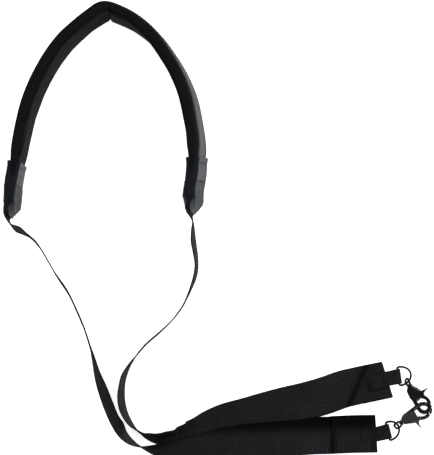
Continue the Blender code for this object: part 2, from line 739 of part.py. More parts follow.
def hem_sections(stop, way, side, strap_height, hem_height, last):
    """Sections of the folded end, round its fold and back along the hem."""
    turn = (hem_height - strap_height) / 2
    sections = []
    across = [left_of(way) * (side.tilt_side * WEBBING_WIDTH * k / (len(last) - 1))
              for k in range(len(last))]
    for angle in evenly(20.0, 180.0, 9):
        ahead = way * (abs(turn) * math.sin(math.radians(angle)))
        height = strap_height + turn * (1.0 - math.cos(math.radians(angle)))
        base = stop + ahead
        base.z = height
        sections.append([base + offset for offset in across])
    for back in evenly(side.hem * 0.15, side.hem, 8):
        base = stop - way * back
        settle = ease((back - LOOP_SEWN) / (LOOP_SEWN * 0.8))
        layer = WEBBING_THICKNESS + GAP
        resting = WEBBING_THICKNESS / 2 + layer
        base.z = hem_height if side.outer_up else mix(hem_height, max(resting, hem_height), settle)
        sections.append([base + offset for offset in across])
    return sections


def build_loop(side):
    """The narrow webbing loop: both legs sewn to the strap's outer face."""
    ring = ring_frame(side)
    middle, way = strap_end(side)
    _, _, outer_leg, inner_leg = stack_heights(side)
    centre = ring.translation
    bar_axis = Vector((ring.col[1][0], ring.col[1][1], 0.0)).normalized()
    strap_axis = left_of(way)
    wrap = RING_WIRE / 2 + LOOP_PLAY + LOOP_THICKNESS / 2
    toward = 1.0 if side.outer_up else -1.0
    onward = Vector((centre.x, centre.y, 0.0)) - middle
    reach = onward.length
    rows = []
    for back in evenly(-LOOP_SEWN, 0.0, 4):
        rows.append((back, outer_leg))
    for angle in evenly(90.0, -90.0, 11):
        turn = math.radians(angle)
        rows.append((reach + wrap * math.cos(turn), centre.z + toward * wrap * math.sin(turn)))
    rows.append((reach * 0.45, mix(inner_leg, centre.z - toward * wrap, 0.35)))
    for back in evenly(0.0, -LOOP_SEWN, 4):
        rows.append((back, inner_leg))
    sections = []
    for back, height in rows:
        share = min(max(back / reach, 0.0), 1.0)
        axis = (strap_axis * (1.0 - share) + bar_axis * share).normalized()
        base = middle + (onward * (back / reach) if back > 0.0 else way * back)
        base.z = height
        sections.append([base - axis * (LOOP_WIDTH / 2), base + axis * (LOOP_WIDTH / 2)])
    name = "ring_loop_" + side.name
    add_object(name, *ribbon(sections, LOOP_THICKNESS), "webbing")


def ring_outline():
    """Centre line of a D-ring: its bar on x = 0 and its bow toward +X."""
    half = ring_half()
    pairs = []
    for y in evenly(-(half - RING_CORNER), half - RING_CORNER, 5):
        pairs.append((0.0, y))
    for angle in evenly(150.0, 90.0, 4):
        turn = math.radians(angle)
        pairs.append((
            RING_CORNER + RING_CORNER * math.cos(turn),
            half - RING_CORNER + RING_CORNER * math.sin(turn),
        ))
    pairs += [bow_point(angle) for angle in evenly(75.0, -75.0, 13)]
    for angle in evenly(-90.0, -150.0, 4):
        turn = math.radians(angle)
        pairs.append((
            RING_CORNER + RING_CORNER * math.cos(turn),
            -(half - RING_CORNER) + RING_CORNER * math.sin(turn),
        ))
    return pairs


def build_ring(side):
    """The welded D-ring."""
    mesh = plane_tube(ring_outline(), RING_WIRE, RING_WIRE, closed=True)
    add_object("d_ring_" + side.name, *mesh, "steel", frame=ring_frame(side))


def oval(angle, extra=0.0):
    """A point of the jaw's oval, extra outward of its centre line."""
    turn = math.radians(angle)
    return (
        HOOK_REACH + (JAW_LENGTH / 2 + extra) * math.cos(turn),
        JAW_OFFSET + (JAW_WIDTH / 2 + extra) * math.sin(turn),
    )


def body_outline():
    """Outline of the hook's block, from the neck round to the front."""
    half = NECK_WIDTH / 2
    front = HOOK_REACH - JAW_LENGTH / 2
    return [
        (NECK_START, -half),
        (NECK_START + half, JAW_OFFSET - JAW_WIDTH / 2 - JAW_WIRE * 0.30),
        (front - JAW_WIRE, JAW_OFFSET - JAW_WIDTH / 2 - JAW_WIRE * 0.42),
        (front + JAW_WIRE * 0.30, -JAW_WIDTH * 0.17),
        (front + JAW_WIRE * 0.10, JAW_OFFSET),
        (front, JAW_OFFSET + JAW_WIDTH * 0.26),
        (front - JAW_WIRE * 0.75, PIVOT_ACROSS + HUB_RADIUS + JAW_WIRE * 0.30),
        (PIVOT_ALONG, PIVOT_ACROSS + HUB_RADIUS + JAW_WIRE * 0.10),
        (PIVOT_ALONG - HUB_RADIUS * 1.2, PIVOT_ACROSS + HUB_RADIUS * 0.45),
        (NECK_START, half),
    ]


def slot_outline():
    """Outline of the slot that the gate's hub turns in."""
    back = PIVOT_ALONG - HUB_RADIUS - GAP
    low = PIVOT_ACROSS - HUB_RADIUS - GAP
    front = HOOK_REACH - JAW_LENGTH / 2 + JAW_WIRE
    high = PIVOT_ACROSS + HUB_RADIUS + JAW_WIRE
    return [(back, low), (front, low), (front, high), (back, high)]


def sweep_outline():
    """The space that the gate's tip sweeps, which the nose keeps clear of."""
    radius = GATE_REACH + GATE_LIP
    points = []
    for angle in evenly(-4.0, 34.0, 14):
        turn = math.radians(angle)
        points.append((PIVOT_ALONG + radius * math.cos(turn), PIVOT_ACROSS + radius * math.sin(turn)))
    points.append((HOOK_REACH - JAW_LENGTH * 0.1, JAW_OFFSET + JAW_WIDTH))
    points.append((HOOK_REACH - JAW_LENGTH * 0.1, JAW_OFFSET))
    return points


def place_pairs(pairs, along, across):
    """The same outline moved to another origin."""
    return [(x - along, y - across) for x, y in pairs]


def build_hook_body(side, swivel):
    """The cast block with its spine and nose, slotted for the gate."""
    name = "hook_body_" + side.name
    body = add_object(name, *slab(body_outline(), BODY_DEPTH), "steel", parent=swivel)
    spine = [(NECK_START + NECK_WIDTH * 0.8, JAW_OFFSET - JAW_WIDTH / 2)]
    spine += [oval(angle) for angle in evenly(-90.0, 62.0, 22)]
    cut(body, add_object(name + "_spine", *plane_tube(spine, JAW_WIRE, JAW_DEPTH),
                         "steel", parent=swivel), "UNION")
    sweep = slab(sweep_outline(), JAW_DEPTH * 2)
    cut(body, add_object(name + "_sweep", *sweep, "steel", parent=swivel))
    slot = slab(slot_outline(), GATE_DEPTH + 2 * GAP)
    cut(body, add_object(name + "_slot", *slot, "steel", parent=swivel))
    hole = bar(-BODY_DEPTH, BODY_DEPTH, PIVOT_RADIUS + GAP)
    at_pivot = Matrix.Translation((PIVOT_ALONG, PIVOT_ACROSS, 0.0))
    cut(body, add_object(name + "_hole", *hole, "steel", frame=at_pivot, parent=swivel))
    head_start, head_stop = stem_head_span()
    bore = turned((
        (NECK_START - GAP, STEM_RADIUS + GAP),
        (head_start - GAP, STEM_RADIUS + GAP),
        (head_start - GAP + 0.01 * MM, STEM_HEAD + GAP),
        (head_stop + GAP, STEM_HEAD + GAP),
    ))
    cut(body, add_object(name + "_bore", *bore, "steel", parent=swivel))


def stem_head_span():
    """Where the swivel's riveted head sits inside the neck."""
    stop = PIVOT_ALONG - HUB_RADIUS - 5 * GAP
    return stop - STEM_RADIUS, stop


def build_eye(side, swivel_frame):
    """The swivel eye: a square loop with a collar and a headed stem."""
    half = EYE_WIDTH / 2
    reach = EYE_LENGTH / 2
    corner = EYE_WIRE
    pairs = []
    for x, y, start in ((reach - corner, half - corner, 0.0), (-reach + corner, half - corner, 90.0),
                        (-reach + corner, -half + corner, 180.0), (reach - corner, -half + corner, 270.0)):
        for angle in evenly(start, start + 90.0, 4):
            turn = math.radians(angle)
            pairs.append((x + corner * math.cos(turn), y + corner * math.sin(turn)))
    name = "swivel_eye_" + side.name
    upright = Matrix.Rotation(math.radians(EYE_TURN - side.roll), 4, "X")
    frame = swivel_frame @ upright
    eye = add_object(name, *plane_tube(pairs, EYE_WIRE, EYE_WIRE, closed=True), "steel", frame=frame)
    head_start, head_stop = stem_head_span()
    stem = turned((
        (reach - EYE_WIRE * 0.2, COLLAR_RADIUS * 0.75),
        (reach + EYE_WIRE * 0.35, COLLAR_RADIUS),
        (NECK_START - GAP, COLLAR_RADIUS),
        (NECK_START - GAP + 0.01 * MM, STEM_RADIUS),
        (head_start, STEM_RADIUS),
        (head_start + 0.01 * MM, STEM_HEAD),
        (head_stop, STEM_HEAD),
    ))
    cut(eye, add_object(name + "_stem", *stem, "steel", frame=frame), "UNION")


def build_rivet(side, swivel):
    """The rivet that the gate turns on."""
    face = BODY_DEPTH / 2 + GAP
    cap = PIVOT_RADIUS * 0.6
    profile = (
        (-face - cap, PIVOT_RADIUS * 1.2),
        (-face - cap * 0.4, PIVOT_RADIUS * 1.8),
        (-face, PIVOT_RADIUS * 1.8),
        (-face + 0.01 * MM, PIVOT_RADIUS),
        (face - 0.01 * MM, PIVOT_RADIUS),
        (face, PIVOT_RADIUS * 1.8),
        (face + cap * 0.4, PIVOT_RADIUS * 1.8),
        (face + cap, PIVOT_RADIUS * 1.2),
    )
    upright = Matrix.Translation((PIVOT_ALONG, PIVOT_ACROSS, 0.0)) @ Matrix.Rotation(math.radians(90.0), 4, "Y")
    add_object("gate_rivet_" + side.name, *turned(profile, 12), "steel", frame=upright, parent=swivel)


def gate_plate():
    """Outline of the gate's hub and web, about its pivot."""
    points = []
    for angle in evenly(110.0, 300.0, 10):
        turn = math.radians(angle)
        points.append((HUB_RADIUS * math.cos(turn), HUB_RADIUS * math.sin(turn)))
    inner = oval(148.0, -GATE_WIRE / 2)
    points += place_pairs([inner, oval(135.0, 0.0), oval(140.0, GATE_WIRE / 2)], PIVOT_ALONG, PIVOT_ACROSS)
    points += place_pairs([
        (PIVOT_ALONG + HUB_RADIUS * 2.0, JAW_OFFSET + JAW_WIDTH * 0.46),
        (PIVOT_ALONG + HUB_RADIUS * 1.55, SPUR_REACH * 0.80),
        (PIVOT_ALONG + HUB_RADIUS * 1.55, SPUR_REACH),
        (PIVOT_ALONG + HUB_RADIUS * 1.20, SPUR_REACH),
        (PIVOT_ALONG + HUB_RADIUS * 1.05, SPUR_REACH * 0.78),
        (PIVOT_ALONG + HUB_RADIUS * 0.85, JAW_OFFSET + JAW_WIDTH * 0.38),
    ], PIVOT_ALONG, PIVOT_ACROSS)
    return points


def build_gate(side, swivel):
    """The sprung gate with its thumb spur, on the rivet."""
    name = "hook_gate_" + side.name
    pivot = Matrix.Translation((PIVOT_ALONG, PIVOT_ACROSS, 0.0))
    gate = add_object(name, *slab(gate_plate(), GATE_DEPTH), "steel", frame=pivot, parent=swivel)
    arm = place_pairs([oval(angle) for angle in evenly(150.0, 40.0, 14)], PIVOT_ALONG, PIVOT_ACROSS)
    tube = plane_tube(arm, GATE_WIRE, GATE_DEPTH)
    cut(gate, add_object(name + "_arm", *tube, "steel", frame=pivot, parent=swivel), "UNION")
    reach = bar(-GATE_DEPTH, GATE_DEPTH, GATE_REACH, 96)
    cut(gate, add_object(name + "_reach", *reach, "steel", frame=pivot, parent=swivel), "INTERSECT")
    hole = bar(-GATE_DEPTH, GATE_DEPTH, PIVOT_RADIUS + GAP)
    cut(gate, add_object(name + "_hole", *hole, "steel", frame=pivot, parent=swivel))


def build_hook(side):
    """One swivel hook: its eye, its turning block, rivet and gate."""
    frame = hook_frame(side)
    swivel = bpy.data.objects.new("hook_swivel_" + side.name, None)
    bpy.context.scene.collection.objects.link(swivel)
    swivel.matrix_basis = frame
    build_eye(side, frame)
    build_hook_body(side, swivel)
    build_rivet(side, swivel)
    build_gate(side, swivel)


def main():
    """Build the whole strap."""
    for obj in list(bpy.data.objects):
        bpy.data.objects.remove(obj, do_unlink=True)
    path = arch_path()
    build_pad(path)
    build_pad_webbing(path)
    build_tab(path, "tab_left", True)
    build_tab(path, "tab_right", False)
    for side in SIDES:
        build_strap(path, side, LEFT_ROWS if side.name == "left" else RIGHT_ROWS)
        build_loop(side)
        build_ring(side)
        build_hook(side)


main()
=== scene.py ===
"""Looks of the padded equipment shoulder strap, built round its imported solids.

The foam pad, the webbing sewn along it, the end tabs, the two flat webbing ends
with their hems and narrow loops, and the rings and clipped swivel hooks are
dressed one after the other. Lengths are metres, +Z is up and the floor is z = 0.
"""

import logging
import math
from bisect import bisect_left
from collections.abc import Callable, Iterable, Sequence
from dataclasses import dataclass, field
from enum import Enum
from typing import NamedTuple

import bmesh
import bpy
from mathutils import Matrix, Vector, noise


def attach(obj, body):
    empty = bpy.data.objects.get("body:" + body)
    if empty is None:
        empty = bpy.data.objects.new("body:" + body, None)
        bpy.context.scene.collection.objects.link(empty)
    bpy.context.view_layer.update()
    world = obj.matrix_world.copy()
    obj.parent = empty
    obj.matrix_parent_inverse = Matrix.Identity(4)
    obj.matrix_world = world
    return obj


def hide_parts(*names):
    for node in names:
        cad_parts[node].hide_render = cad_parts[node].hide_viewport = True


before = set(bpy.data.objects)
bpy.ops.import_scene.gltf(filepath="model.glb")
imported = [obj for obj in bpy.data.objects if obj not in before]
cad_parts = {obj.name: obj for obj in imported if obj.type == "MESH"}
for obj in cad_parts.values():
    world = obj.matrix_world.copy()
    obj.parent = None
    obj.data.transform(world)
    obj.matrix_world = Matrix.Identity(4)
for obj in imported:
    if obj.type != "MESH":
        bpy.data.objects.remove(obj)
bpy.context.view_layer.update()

LOG = logging.getLogger("shoulder_strap")
MM = 0.001
CLOTH_MAP = "cloth"

# Clearance between pieces that touch on the real strap, and under the webbing.
GAP = 0.3 * MM
FLOOR_GAP = 0.06 * MM

WEBBING_WIDTH = 38.0 * MM
WEBBING_THICKNESS = 1.4 * MM
PAD_WIDTH = 57.0 * MM
LOOP_WIDTH = 14.6 * MM
LOOP_THICKNESS = 1.2 * MM
LOOP_SEWN = 18.0 * MM
ROOT_LENGTH = 46.0 * MM

Section = list[Vector]
Colour = tuple[float, float, float]
Feed = bpy.types.NodeSocket | float | tuple[float, ...]


class ArchRow(NamedTuple):
    """A knot of the pad's centre line, as shares of span, rise and pad width."""

    across: float
    rise: float
    lean: float


class RouteRow(NamedTuple):
    """A knot of a strap's lower edge, from its tab to its sewn end."""

    along: float
    down: float
    drop: float
    layers: float
    seat: float
    foot: float
    top: float
    bend: float = 0.55


class PaintedShadeLine(NamedTuple):
    """A line in plan along which painted shade darkens the flat webbing."""

    start: tuple[float, float]
    stop: tuple[float, float]
    width: float
    strength: float


class SideRow(NamedTuple):
    """How one half of the strap lies, from its sewn end to the clasp."""

    name: str
    jaw_shift_x: float
    jaw_shift_y: float
    jaw_height: float
    eye_height: float
    heading: float
    roll: float
    gate_side: int
    ring_turn: float
    ring_angle: float
    outer_up: bool
    hem: float
    end_heading: float
    loop_heading: float
    tilt_side: int
    # Share of painted shade on the part of the strap that stands and turns over.
    turned_painted_shade: float


ARCH_ROWS = tuple(ArchRow(*row) for row in (
    (0.000, 0.000, 0.02),
    (0.023, 0.086, 0.02),
    (0.048, 0.206, 0.05),
    (0.086, 0.404, 0.03),
    (0.132, 0.564, 0.02),
    (0.214, 0.723, 0.02),
    (0.309, 0.847, 0.02),
    (0.406, 0.929, 0.02),
    (0.472, 0.974, 0.01),
    (0.532, 1.004, -0.01),
    (0.593, 0.992, -0.03),
    (0.703, 0.940, -0.02),
    (0.800, 0.866, 0.01),
    (0.865, 0.788, 0.02),
    (0.935, 0.683, 0.03),
    (0.988, 0.568, 0.03),
    (1.015, 0.452, 0.03),
    (1.032, 0.338, 0.03),
    (1.032, 0.222, 0.02),
    (1.022, 0.106, 0.02),
    (1.018, 0.048, 0.02),
    (1.000, 0.000, 0.02),
))

LEFT_ROWS = tuple(RouteRow(*row) for row in (
    (0.014, 0.057, 0.90, 0.0, 0.0, 2, 2),
    (0.039, 0.078, 0.80, 0.0, 0.0, 3, 3),
    (0.057, 0.095, 0.68, 0.0, 0.0, 0, 0),
    (0.081, 0.142, 0.58, 0.0, 0.0, 2, 2),
    (0.101, 0.201, 0.47, 0.0, 0.0, 3, 3),
    (0.129, 0.290, 0.32, 0.0, 0.0, 3, 3),
    (0.161, 0.379, 0.16, 0.0, 0.0, 4, 4),
    (0.184, 0.469, 0.07, 0.0, 0.0, 5, 5),
    (0.205, 0.558, 0.00, 0.0, 0.0, 5, 5),
    (0.218, 0.633, 0.00, 0.0, 0.0, 5, 6),
    (0.225, 0.707, 0.00, 0.0, 0.0, 10, 10),
    (0.233, 0.797, 0.00, 0.0, 0.0, 15, 15),
    (0.244, 0.871, 0.00, 0.0, 0.0, 19, 19),
    (0.261, 0.956, 0.00, 0.0, 0.0, 20, 20),
    (0.279, 1.026, 0.00, 0.0, 0.0, 19, 19),
    (0.299, 1.079, 0.00, 0.0, 0.0, 18, 20),
    (0.322, 1.112, 0.00, 0.2, 0.0, 10, 14),
    (0.354, 1.130, 0.00, 0.8, 0.0, -4, 5),
    (0.389, 1.127, 0.00, 2.0, 0.0, -24, -10),
    (0.422, 1.116, 0.00, 2.6, 0.0, -44, -24),
    (0.458, 1.103, 0.00, 2.6, 0.0, -60, -36),
    (0.524, 1.074, 0.00, 2.2, 0.0, -72, -52),
    (0.576, 1.050, 0.00, 1.8, 0.0, -78, -60),
    (0.628, 1.035, 0.00, 1.6, 0.0, -80, -66),
    (0.682, 1.027, 0.00, 1.5, 0.0, -82, -68),
    (0.737, 1.020, 0.00, 1.4, 0.0, -82, -70),
    (0.792, 1.014, 0.00, 1.4, 0.0, -84, -74),
    (0.842, 1.004, 0.00, 1.3, 0.2, -89, -83),
    (0.878, 1.002, 0.00, 0.6, 0.7, -90, -90),
    (0.912, 1.000, 0.00, 0.0, 1.0, -90, -90),
    (0.956, 0.999, 0.00, 0.0, 1.0, -90, -90),
    (1.000, 1.000, 0.00, 0.0, 1.0, -90, -90),
))

RIGHT_ROWS = tuple(RouteRow(*row) for row in (
    (0.006, 0.058, 0.95, 0.0, 0.0, 6, 6),
    (0.011, 0.110, 0.84, 0.0, 0.0, 3, 3),
    (0.018, 0.171, 0.74, 0.0, 0.0, 0, 0),
    (0.024, 0.230, 0.63, 0.0, 0.0, 1, 1),
    (0.023, 0.294, 0.53, 0.0, 0.0, 4, 4),
    (0.010, 0.347, 0.42, 0.0, 0.0, 6, 6),
    (-0.010, 0.395, 0.37, 0.0, 0.0, 8, 8),
    (-0.033, 0.443, 0.32, 0.0, 0.0, 10, 10),
    (-0.061, 0.496, 0.26, 0.0, 0.0, 11, 11),
    (-0.109, 0.559, 0.21, 0.0, 0.0, 12, 12),
    (-0.175, 0.622, 0.16, 0.0, 0.0, 13, 13),
    (-0.245, 0.685, 0.10, 0.0, 0.0, 13, 13),
    (-0.295, 0.749, 0.05, 0.0, 0.0, 12, 12),
    (-0.328, 0.812, 0.00, 0.0, 0.0, 8, 8),
    (-0.347, 0.877, 0.00, 0.0, 0.0, 3, 3),
    (-0.352, 0.942, 0.00, 0.0, 0.0, 0, 0),
    (-0.348, 0.996, 0.00, 0.0, 0.0, -3, -3),
    (-0.333, 1.056, 0.00, 0.0, 0.0, -5, -5),
    (-0.310, 1.106, 0.00, 0.0, 0.0, -5, -5),
    (-0.287, 1.144, 0.00, 0.0, 0.0, -3, -4),
    (-0.257, 1.174, 0.00, 0.0, 0.0, -1, 0),
    (-0.221, 1.204, 0.00, 0.0, 0.0, 0, 5, 0.37),
    (-0.187, 1.222, 0.00, 0.0, 0.0, 30, 0, 0.28),
    (-0.152, 1.245, 0.00, 0.0, 0.0, 68, 1, 0.36),
    (-0.110, 1.269, 0.00, 0.0, 0.0, 88, 11.5, 0.45),
    (-0.060, 1.280, 0.00, 0.0, 0.0, 90, 20, 0.48),
    (0.000, 1.279, 0.00, 0.0, 0.0, 90, 32, 0.52),
    (0.060, 1.258, 0.00, 0.0, 0.0, 90, 37, 0.51),
    (0.130, 1.230, 0.00, 0.0, 0.0, 90, 52),
    (0.198, 1.205, 0.00, 0.0, 0.0, 90, 62.5),
    (0.286, 1.183, 0.00, 0.0, 0.0, 90, 68, 0.53),
    (0.392, 1.152, 0.00, 0.0, 0.0, 90, 64.5, 0.53),
    (0.493, 1.128, 0.00, 0.0, 0.0, 90, 76),
    (0.591, 1.106, 0.00, 0.0, 0.0, 90, 76),
    (0.691, 1.078, 0.00, 0.0, 0.0, 90, 78),
    (0.782, 1.046, 0.00, 0.0, 0.4, 90, 86),
    (0.832, 1.035, 0.00, 0.0, 1.0, 90, 90),
    (0.882, 1.024, 0.00, 0.0, 1.0, 90, 90),
    (1.000, 1.000, 0.00, 0.0, 1.0, 90, 90),
))

SIDES = (
    SideRow(
        name="right", jaw_shift_x=0.5 * MM, jaw_shift_y=3.1 * MM, jaw_height=7.3 * MM,
        eye_height=6.3 * MM, heading=-61.6, roll=25.8, gate_side=1, ring_turn=8.1,
        ring_angle=-52.0, outer_up=True, hem=30.0 * MM, end_heading=17.1, loop_heading=12.0,
        tilt_side=1, turned_painted_shade=0.0,
    ),
    SideRow(
        name="left", jaw_shift_x=-0.5 * MM, jaw_shift_y=-3.1 * MM, jaw_height=5.8 * MM,
        eye_height=5.9 * MM, heading=36.0, roll=20.7, gate_side=-1, ring_turn=14.0,
        ring_angle=17.0, outer_up=False, hem=44.0 * MM, end_heading=3.4, loop_heading=11.5,
        tilt_side=-1, turned_painted_shade=0.85,
    ),
)

# Lines of painted shade on the flat webbing, where it slopes over the hem beneath.
PAINTED_SHADE_LINES = (
    PaintedShadeLine((147.6 * MM, -133.2 * MM), (129.4 * MM, -174.3 * MM), 3.0 * MM, 0.75),
    PaintedShadeLine((114.9 * MM, -187.0 * MM), (114.3 * MM, -218.0 * MM), 2.6 * MM, 0.7),
    PaintedShadeLine((156.8 * MM, -186.0 * MM), (156.2 * MM, -218.0 * MM), 2.4 * MM, 0.35),
)


class Route:
    """A smooth curve through rows of numbers, read by its length in plan."""

    STEPS = 10

    def __init__(self, rows: Sequence[Sequence[float]]) -> None:
        """Fit the curve.

        Args:
            rows: Knots whose first two numbers are their place in plan.
        """
        self.rows: list[list[float]] = []
        knots = [0.0]
        for a, b in zip(rows, rows[1:]):
            knots.append(knots[-1] + math.dist(a[:2], b[:2]))
        slopes = []
        for i in range(len(rows)):
            low = max(i - 1, 0)
            high = min(i + 1, len(rows) - 1)
            span = knots[high] - knots[low]
            slopes.append([(q - p) / span for p, q in zip(rows[low], rows[high])])
        for i in range(len(rows) - 1):
            width = knots[i + 1] - knots[i]
            for step in range(self.STEPS):
                self.rows.append(self.between(rows, slopes, i, width, step / self.STEPS))
        self.rows.append(list(rows[-1]))
        self.marks = [0.0]
        for a, b in zip(self.rows, self.rows[1:]):
            self.marks.append(self.marks[-1] + math.dist(a[:2], b[:2]))
        self.length = self.marks[-1]

    @staticmethod
    def between(
        rows: Sequence[Sequence[float]], slopes: list[list[float]], i: int, width: float, f: float
    ) -> list[float]:
        """Read the cubic between knots i and i + 1.

        Args:
            rows: The knots.
            slopes: The slope of each number at each knot.
            i: The knot that it starts from.
            width: The distance between the two knots.
            f: The share of the way.

        Returns:
            One row of numbers.
        """
        start = 2 * f**3 - 3 * f**2 + 1
        leave = f**3 - 2 * f**2 + f
        stop = -2 * f**3 + 3 * f**2
        arrive = f**3 - f**2
        return [
            start * p + leave * width * m + stop * q + arrive * width * n
            for p, m, q, n in zip(rows[i], slopes[i], rows[i + 1], slopes[i + 1])
        ]

    def at(self, distance: float) -> list[float]:
        """Read the row of numbers at a place.

        Args:
            distance: Distance from the start.

        Returns:
            The row.
        """
        i = min(max(bisect_left(self.marks, distance) - 1, 0), len(self.marks) - 2)
        f = (distance - self.marks[i]) / (self.marks[i + 1] - self.marks[i])
        return [p + (q - p) * f for p, q in zip(self.rows[i], self.rows[i + 1])]

    def heading(self, distance: float) -> Vector:
        """Read the direction in plan at a place.

        Args:
            distance: Distance from the start.

        Returns:
            A unit vector.
        """
        reach = 1.0 * MM
        middle = min(max(distance, reach), self.length - reach)
        a = self.at(middle - reach)
        b = self.at(middle + reach)
        return Vector((b[0] - a[0], b[1] - a[1], 0.0)).normalized()


def left_of(direction: Vector) -> Vector:
    """Give the horizontal direction to the left of a heading."""
    return Vector((-direction.y, direction.x, 0.0))


def compass(degrees: float) -> Vector:
    """Give the unit vector of a heading, counted from +X toward +Y."""
    angle = math.radians(degrees)
    return Vector((math.cos(angle), math.sin(angle), 0.0))


def ease(value: float) -> float:
    """Give a smooth step from 0 to 1."""
    f = min(max(value, 0.0), 1.0)
    return f * f * (3.0 - 2.0 * f)


def mix(a: float, b: float, f: float) -> float:
    """Give the value a share f of the way from a to b."""
    return a + (b - a) * f


def bell(value: float, width: float) -> float:
    """Give a bell curve that is 1 at zero and fades over a width."""
    return math.exp(-((value / width) ** 2))


def evenly(start: float, stop: float, count: int) -> list[float]:
    """Give count values from start to stop, both included."""
    return [mix(start, stop, i / (count - 1)) for i in range(count)]


def spaced(start: float, stop: float, step: float) -> list[float]:
    """Give values from start to stop, about a step apart."""
    return evenly(start, stop, max(2, round(abs(stop - start) / step) + 1))


def rounded_ring(
    inner: float, outer: float, low: float, high: float, corner: float, parts: tuple[int, int, int]
) -> list[tuple[float, float]]:
    """Trace a rounded rectangle with the same count of points for any size.

    Args:
        inner: Across of its inner side.
        outer: Across of its outer side.
        low: Height of its lower side.
        high: Height of its upper side.
        corner: Radius of its corners.
        parts: Steps of a short side, of a long side and of a corner.

    Returns:
        Points as (across, height), from the outer top corner round the top.
    """
    short, tall, turn = parts
    radius = min(corner, (outer - inner) * 0.45, (high - low) * 0.45)
    corners = (
        (outer - radius, high - radius, 0.0),
        (inner + radius, high - radius, 90.0),
        (inner + radius, low + radius, 180.0),
        (outer - radius, low + radius, 270.0),
    )
    points: list[tuple[float, float]] = []
    for index, (across, height, start) in enumerate(corners):
        for i in range(turn + 1):
            angle = math.radians(start + 90.0 * i / turn)
            points.append((across + radius * math.cos(angle), height + radius * math.sin(angle)))
        after = corners[(index + 1) % 4]
        angle = math.radians(start + 90.0)
        end = (after[0] + radius * math.cos(angle), after[1] + radius * math.sin(angle))
        steps = short if index % 2 == 0 else tall
        begin = points[-1]
        for i in range(1, steps):
            points.append((mix(begin[0], end[0], i / steps), mix(begin[1], end[1], i / steps)))
    return points


def lengths_round(points: Sequence[tuple[float, float]]) -> list[float]:
    """Measure the way round a ring.

    Args:
        points: The ring's points.

    Returns:
        The distance of each point, and at the end that of the closed ring.
    """
    marks = [0.0]
    for a, b in zip(points, [*points[1:], points[0]]):
        marks.append(marks[-1] + math.dist(a, b))
    return marks


def link_mesh(name: str, mesh: bpy.types.Mesh) -> bpy.types.Object:
    """Put a mesh into the scene as an object, smooth shaded.

    Args:
        name: The piece's name.
        mesh: Its mesh.

    Returns:
        The object.
    """
    mesh.shade_smooth()
    piece = bpy.data.objects.new(name, mesh)
    bpy.context.scene.collection.objects.link(piece)
    return piece


def skin(
    name: str,
    rings: Sequence[Section],
    along: Sequence[float],
    around: Sequence[float],
    closed: bool = False,
) -> bpy.types.Object:
    """Mesh a tube of rings and give it its cloth map.

    Args:
        name: The piece's name.
        rings: Rings of points, all of one size.
        along: The map's first number for each ring, one more where it closes.
        around: The map's second number for each point, and one for the seam.
        closed: Whether the last ring joins the first.

    Returns:
        The linked object.
    """
    size = len(rings[0])
    count = len(rings)
    faces = []
    places: list[float] = []
    for i in range(count if closed else count - 1):
        j = (i + 1) % count
        for k in range(size):
            n = (k + 1) % size
            faces.append((i * size + k, i * size + n, j * size + n, j * size + k))
            places += [along[i], around[k], along[i], around[k + 1]]
            places += [along[i + 1], around[k + 1], along[i + 1], around[k]]
    if not closed:
        for first, spot in ((0, along[0]), ((count - 1) * size, along[-1])):
            faces.append(tuple(range(first, first + size)))
            for k in range(size):
                places += [spot, around[k]]
    mesh = bpy.data.meshes.new(name)
    mesh.from_pydata([tuple(point) for ring in rings for point in ring], [], faces)
    mesh.uv_layers.new(name=CLOTH_MAP).data.foreach_set("uv", places)
    shell = bmesh.new()
    shell.from_mesh(mesh)
    bmesh.ops.recalc_face_normals(shell, faces=shell.faces)
    shell.to_mesh(mesh)
    shell.free()
    return link_mesh(name, mesh)


def row_normals(sections: Sequence[Section], i: int) -> Section:
    """Work out a band's normals at one of its sections.

    Args:
        sections: Rows of points across the band.
        i: The row's number.

    Returns:
        One unit normal for each point of the row.
    """
    ahead = sections[min(i + 1, len(sections) - 1)]
    behind = sections[max(i - 1, 0)]
    row = sections[i]
    last = len(row) - 1
    normals = []
    for k in range(last + 1):
        across = row[min(k + 1, last)] - row[max(k - 1, 0)]
        normals.append((ahead[k] - behind[k]).cross(across).normalized())
    return normals


def woven_band(name: str, sections: Sequence[Section], thickness: float) -> bpy.types.Object:
    """Mesh a flat band with soft rounded selvedges.

    Args:
        name: The piece's name.
        sections: Rows of points across the band's middle surface.
        thickness: The band's thickness.

    Returns:
        The linked object, whose cloth map is in metres.
    """
    half = thickness / 2
    turns = [math.radians(angle) for angle in (55.0, 20.0, -20.0, -55.0)]
    width = sum((b - a).length for a, b in zip(sections[0], sections[0][1:]))
    size = len(sections[0])
    across = [width * k / (size - 1) for k in range(size)]
    around = across + [width] * len(turns) + across[::-1] + [0.0] * len(turns) + [0.0]
    rings = []
    along = []
    travelled = 0.0
    for i, row in enumerate(sections):
        if i:
            travelled += (row[size // 2] - sections[i - 1][size // 2]).length
        along.append(travelled)
        normals = row_normals(sections, i)
        first_way = (row[0] - row[1]).normalized() * half
        last_way = (row[-1] - row[-2]).normalized() * half
        middle = [row[0] - first_way, *row[1:-1], row[-1] - last_way]
        front = [p + n * half for p, n in zip(middle, normals)]
        back = [p - n * half for p, n in zip(middle, normals)]
        last_edge = [
            middle[-1] + last_way * math.cos(a) + normals[-1] * (half * math.sin(a)) for a in turns
        ]
        first_edge = [
            middle[0] + first_way * math.cos(a) - normals[0] * (half * math.sin(a)) for a in turns
        ]
        rings.append(front + last_edge + back[::-1] + first_edge)
    return skin(name, rings, along, around)


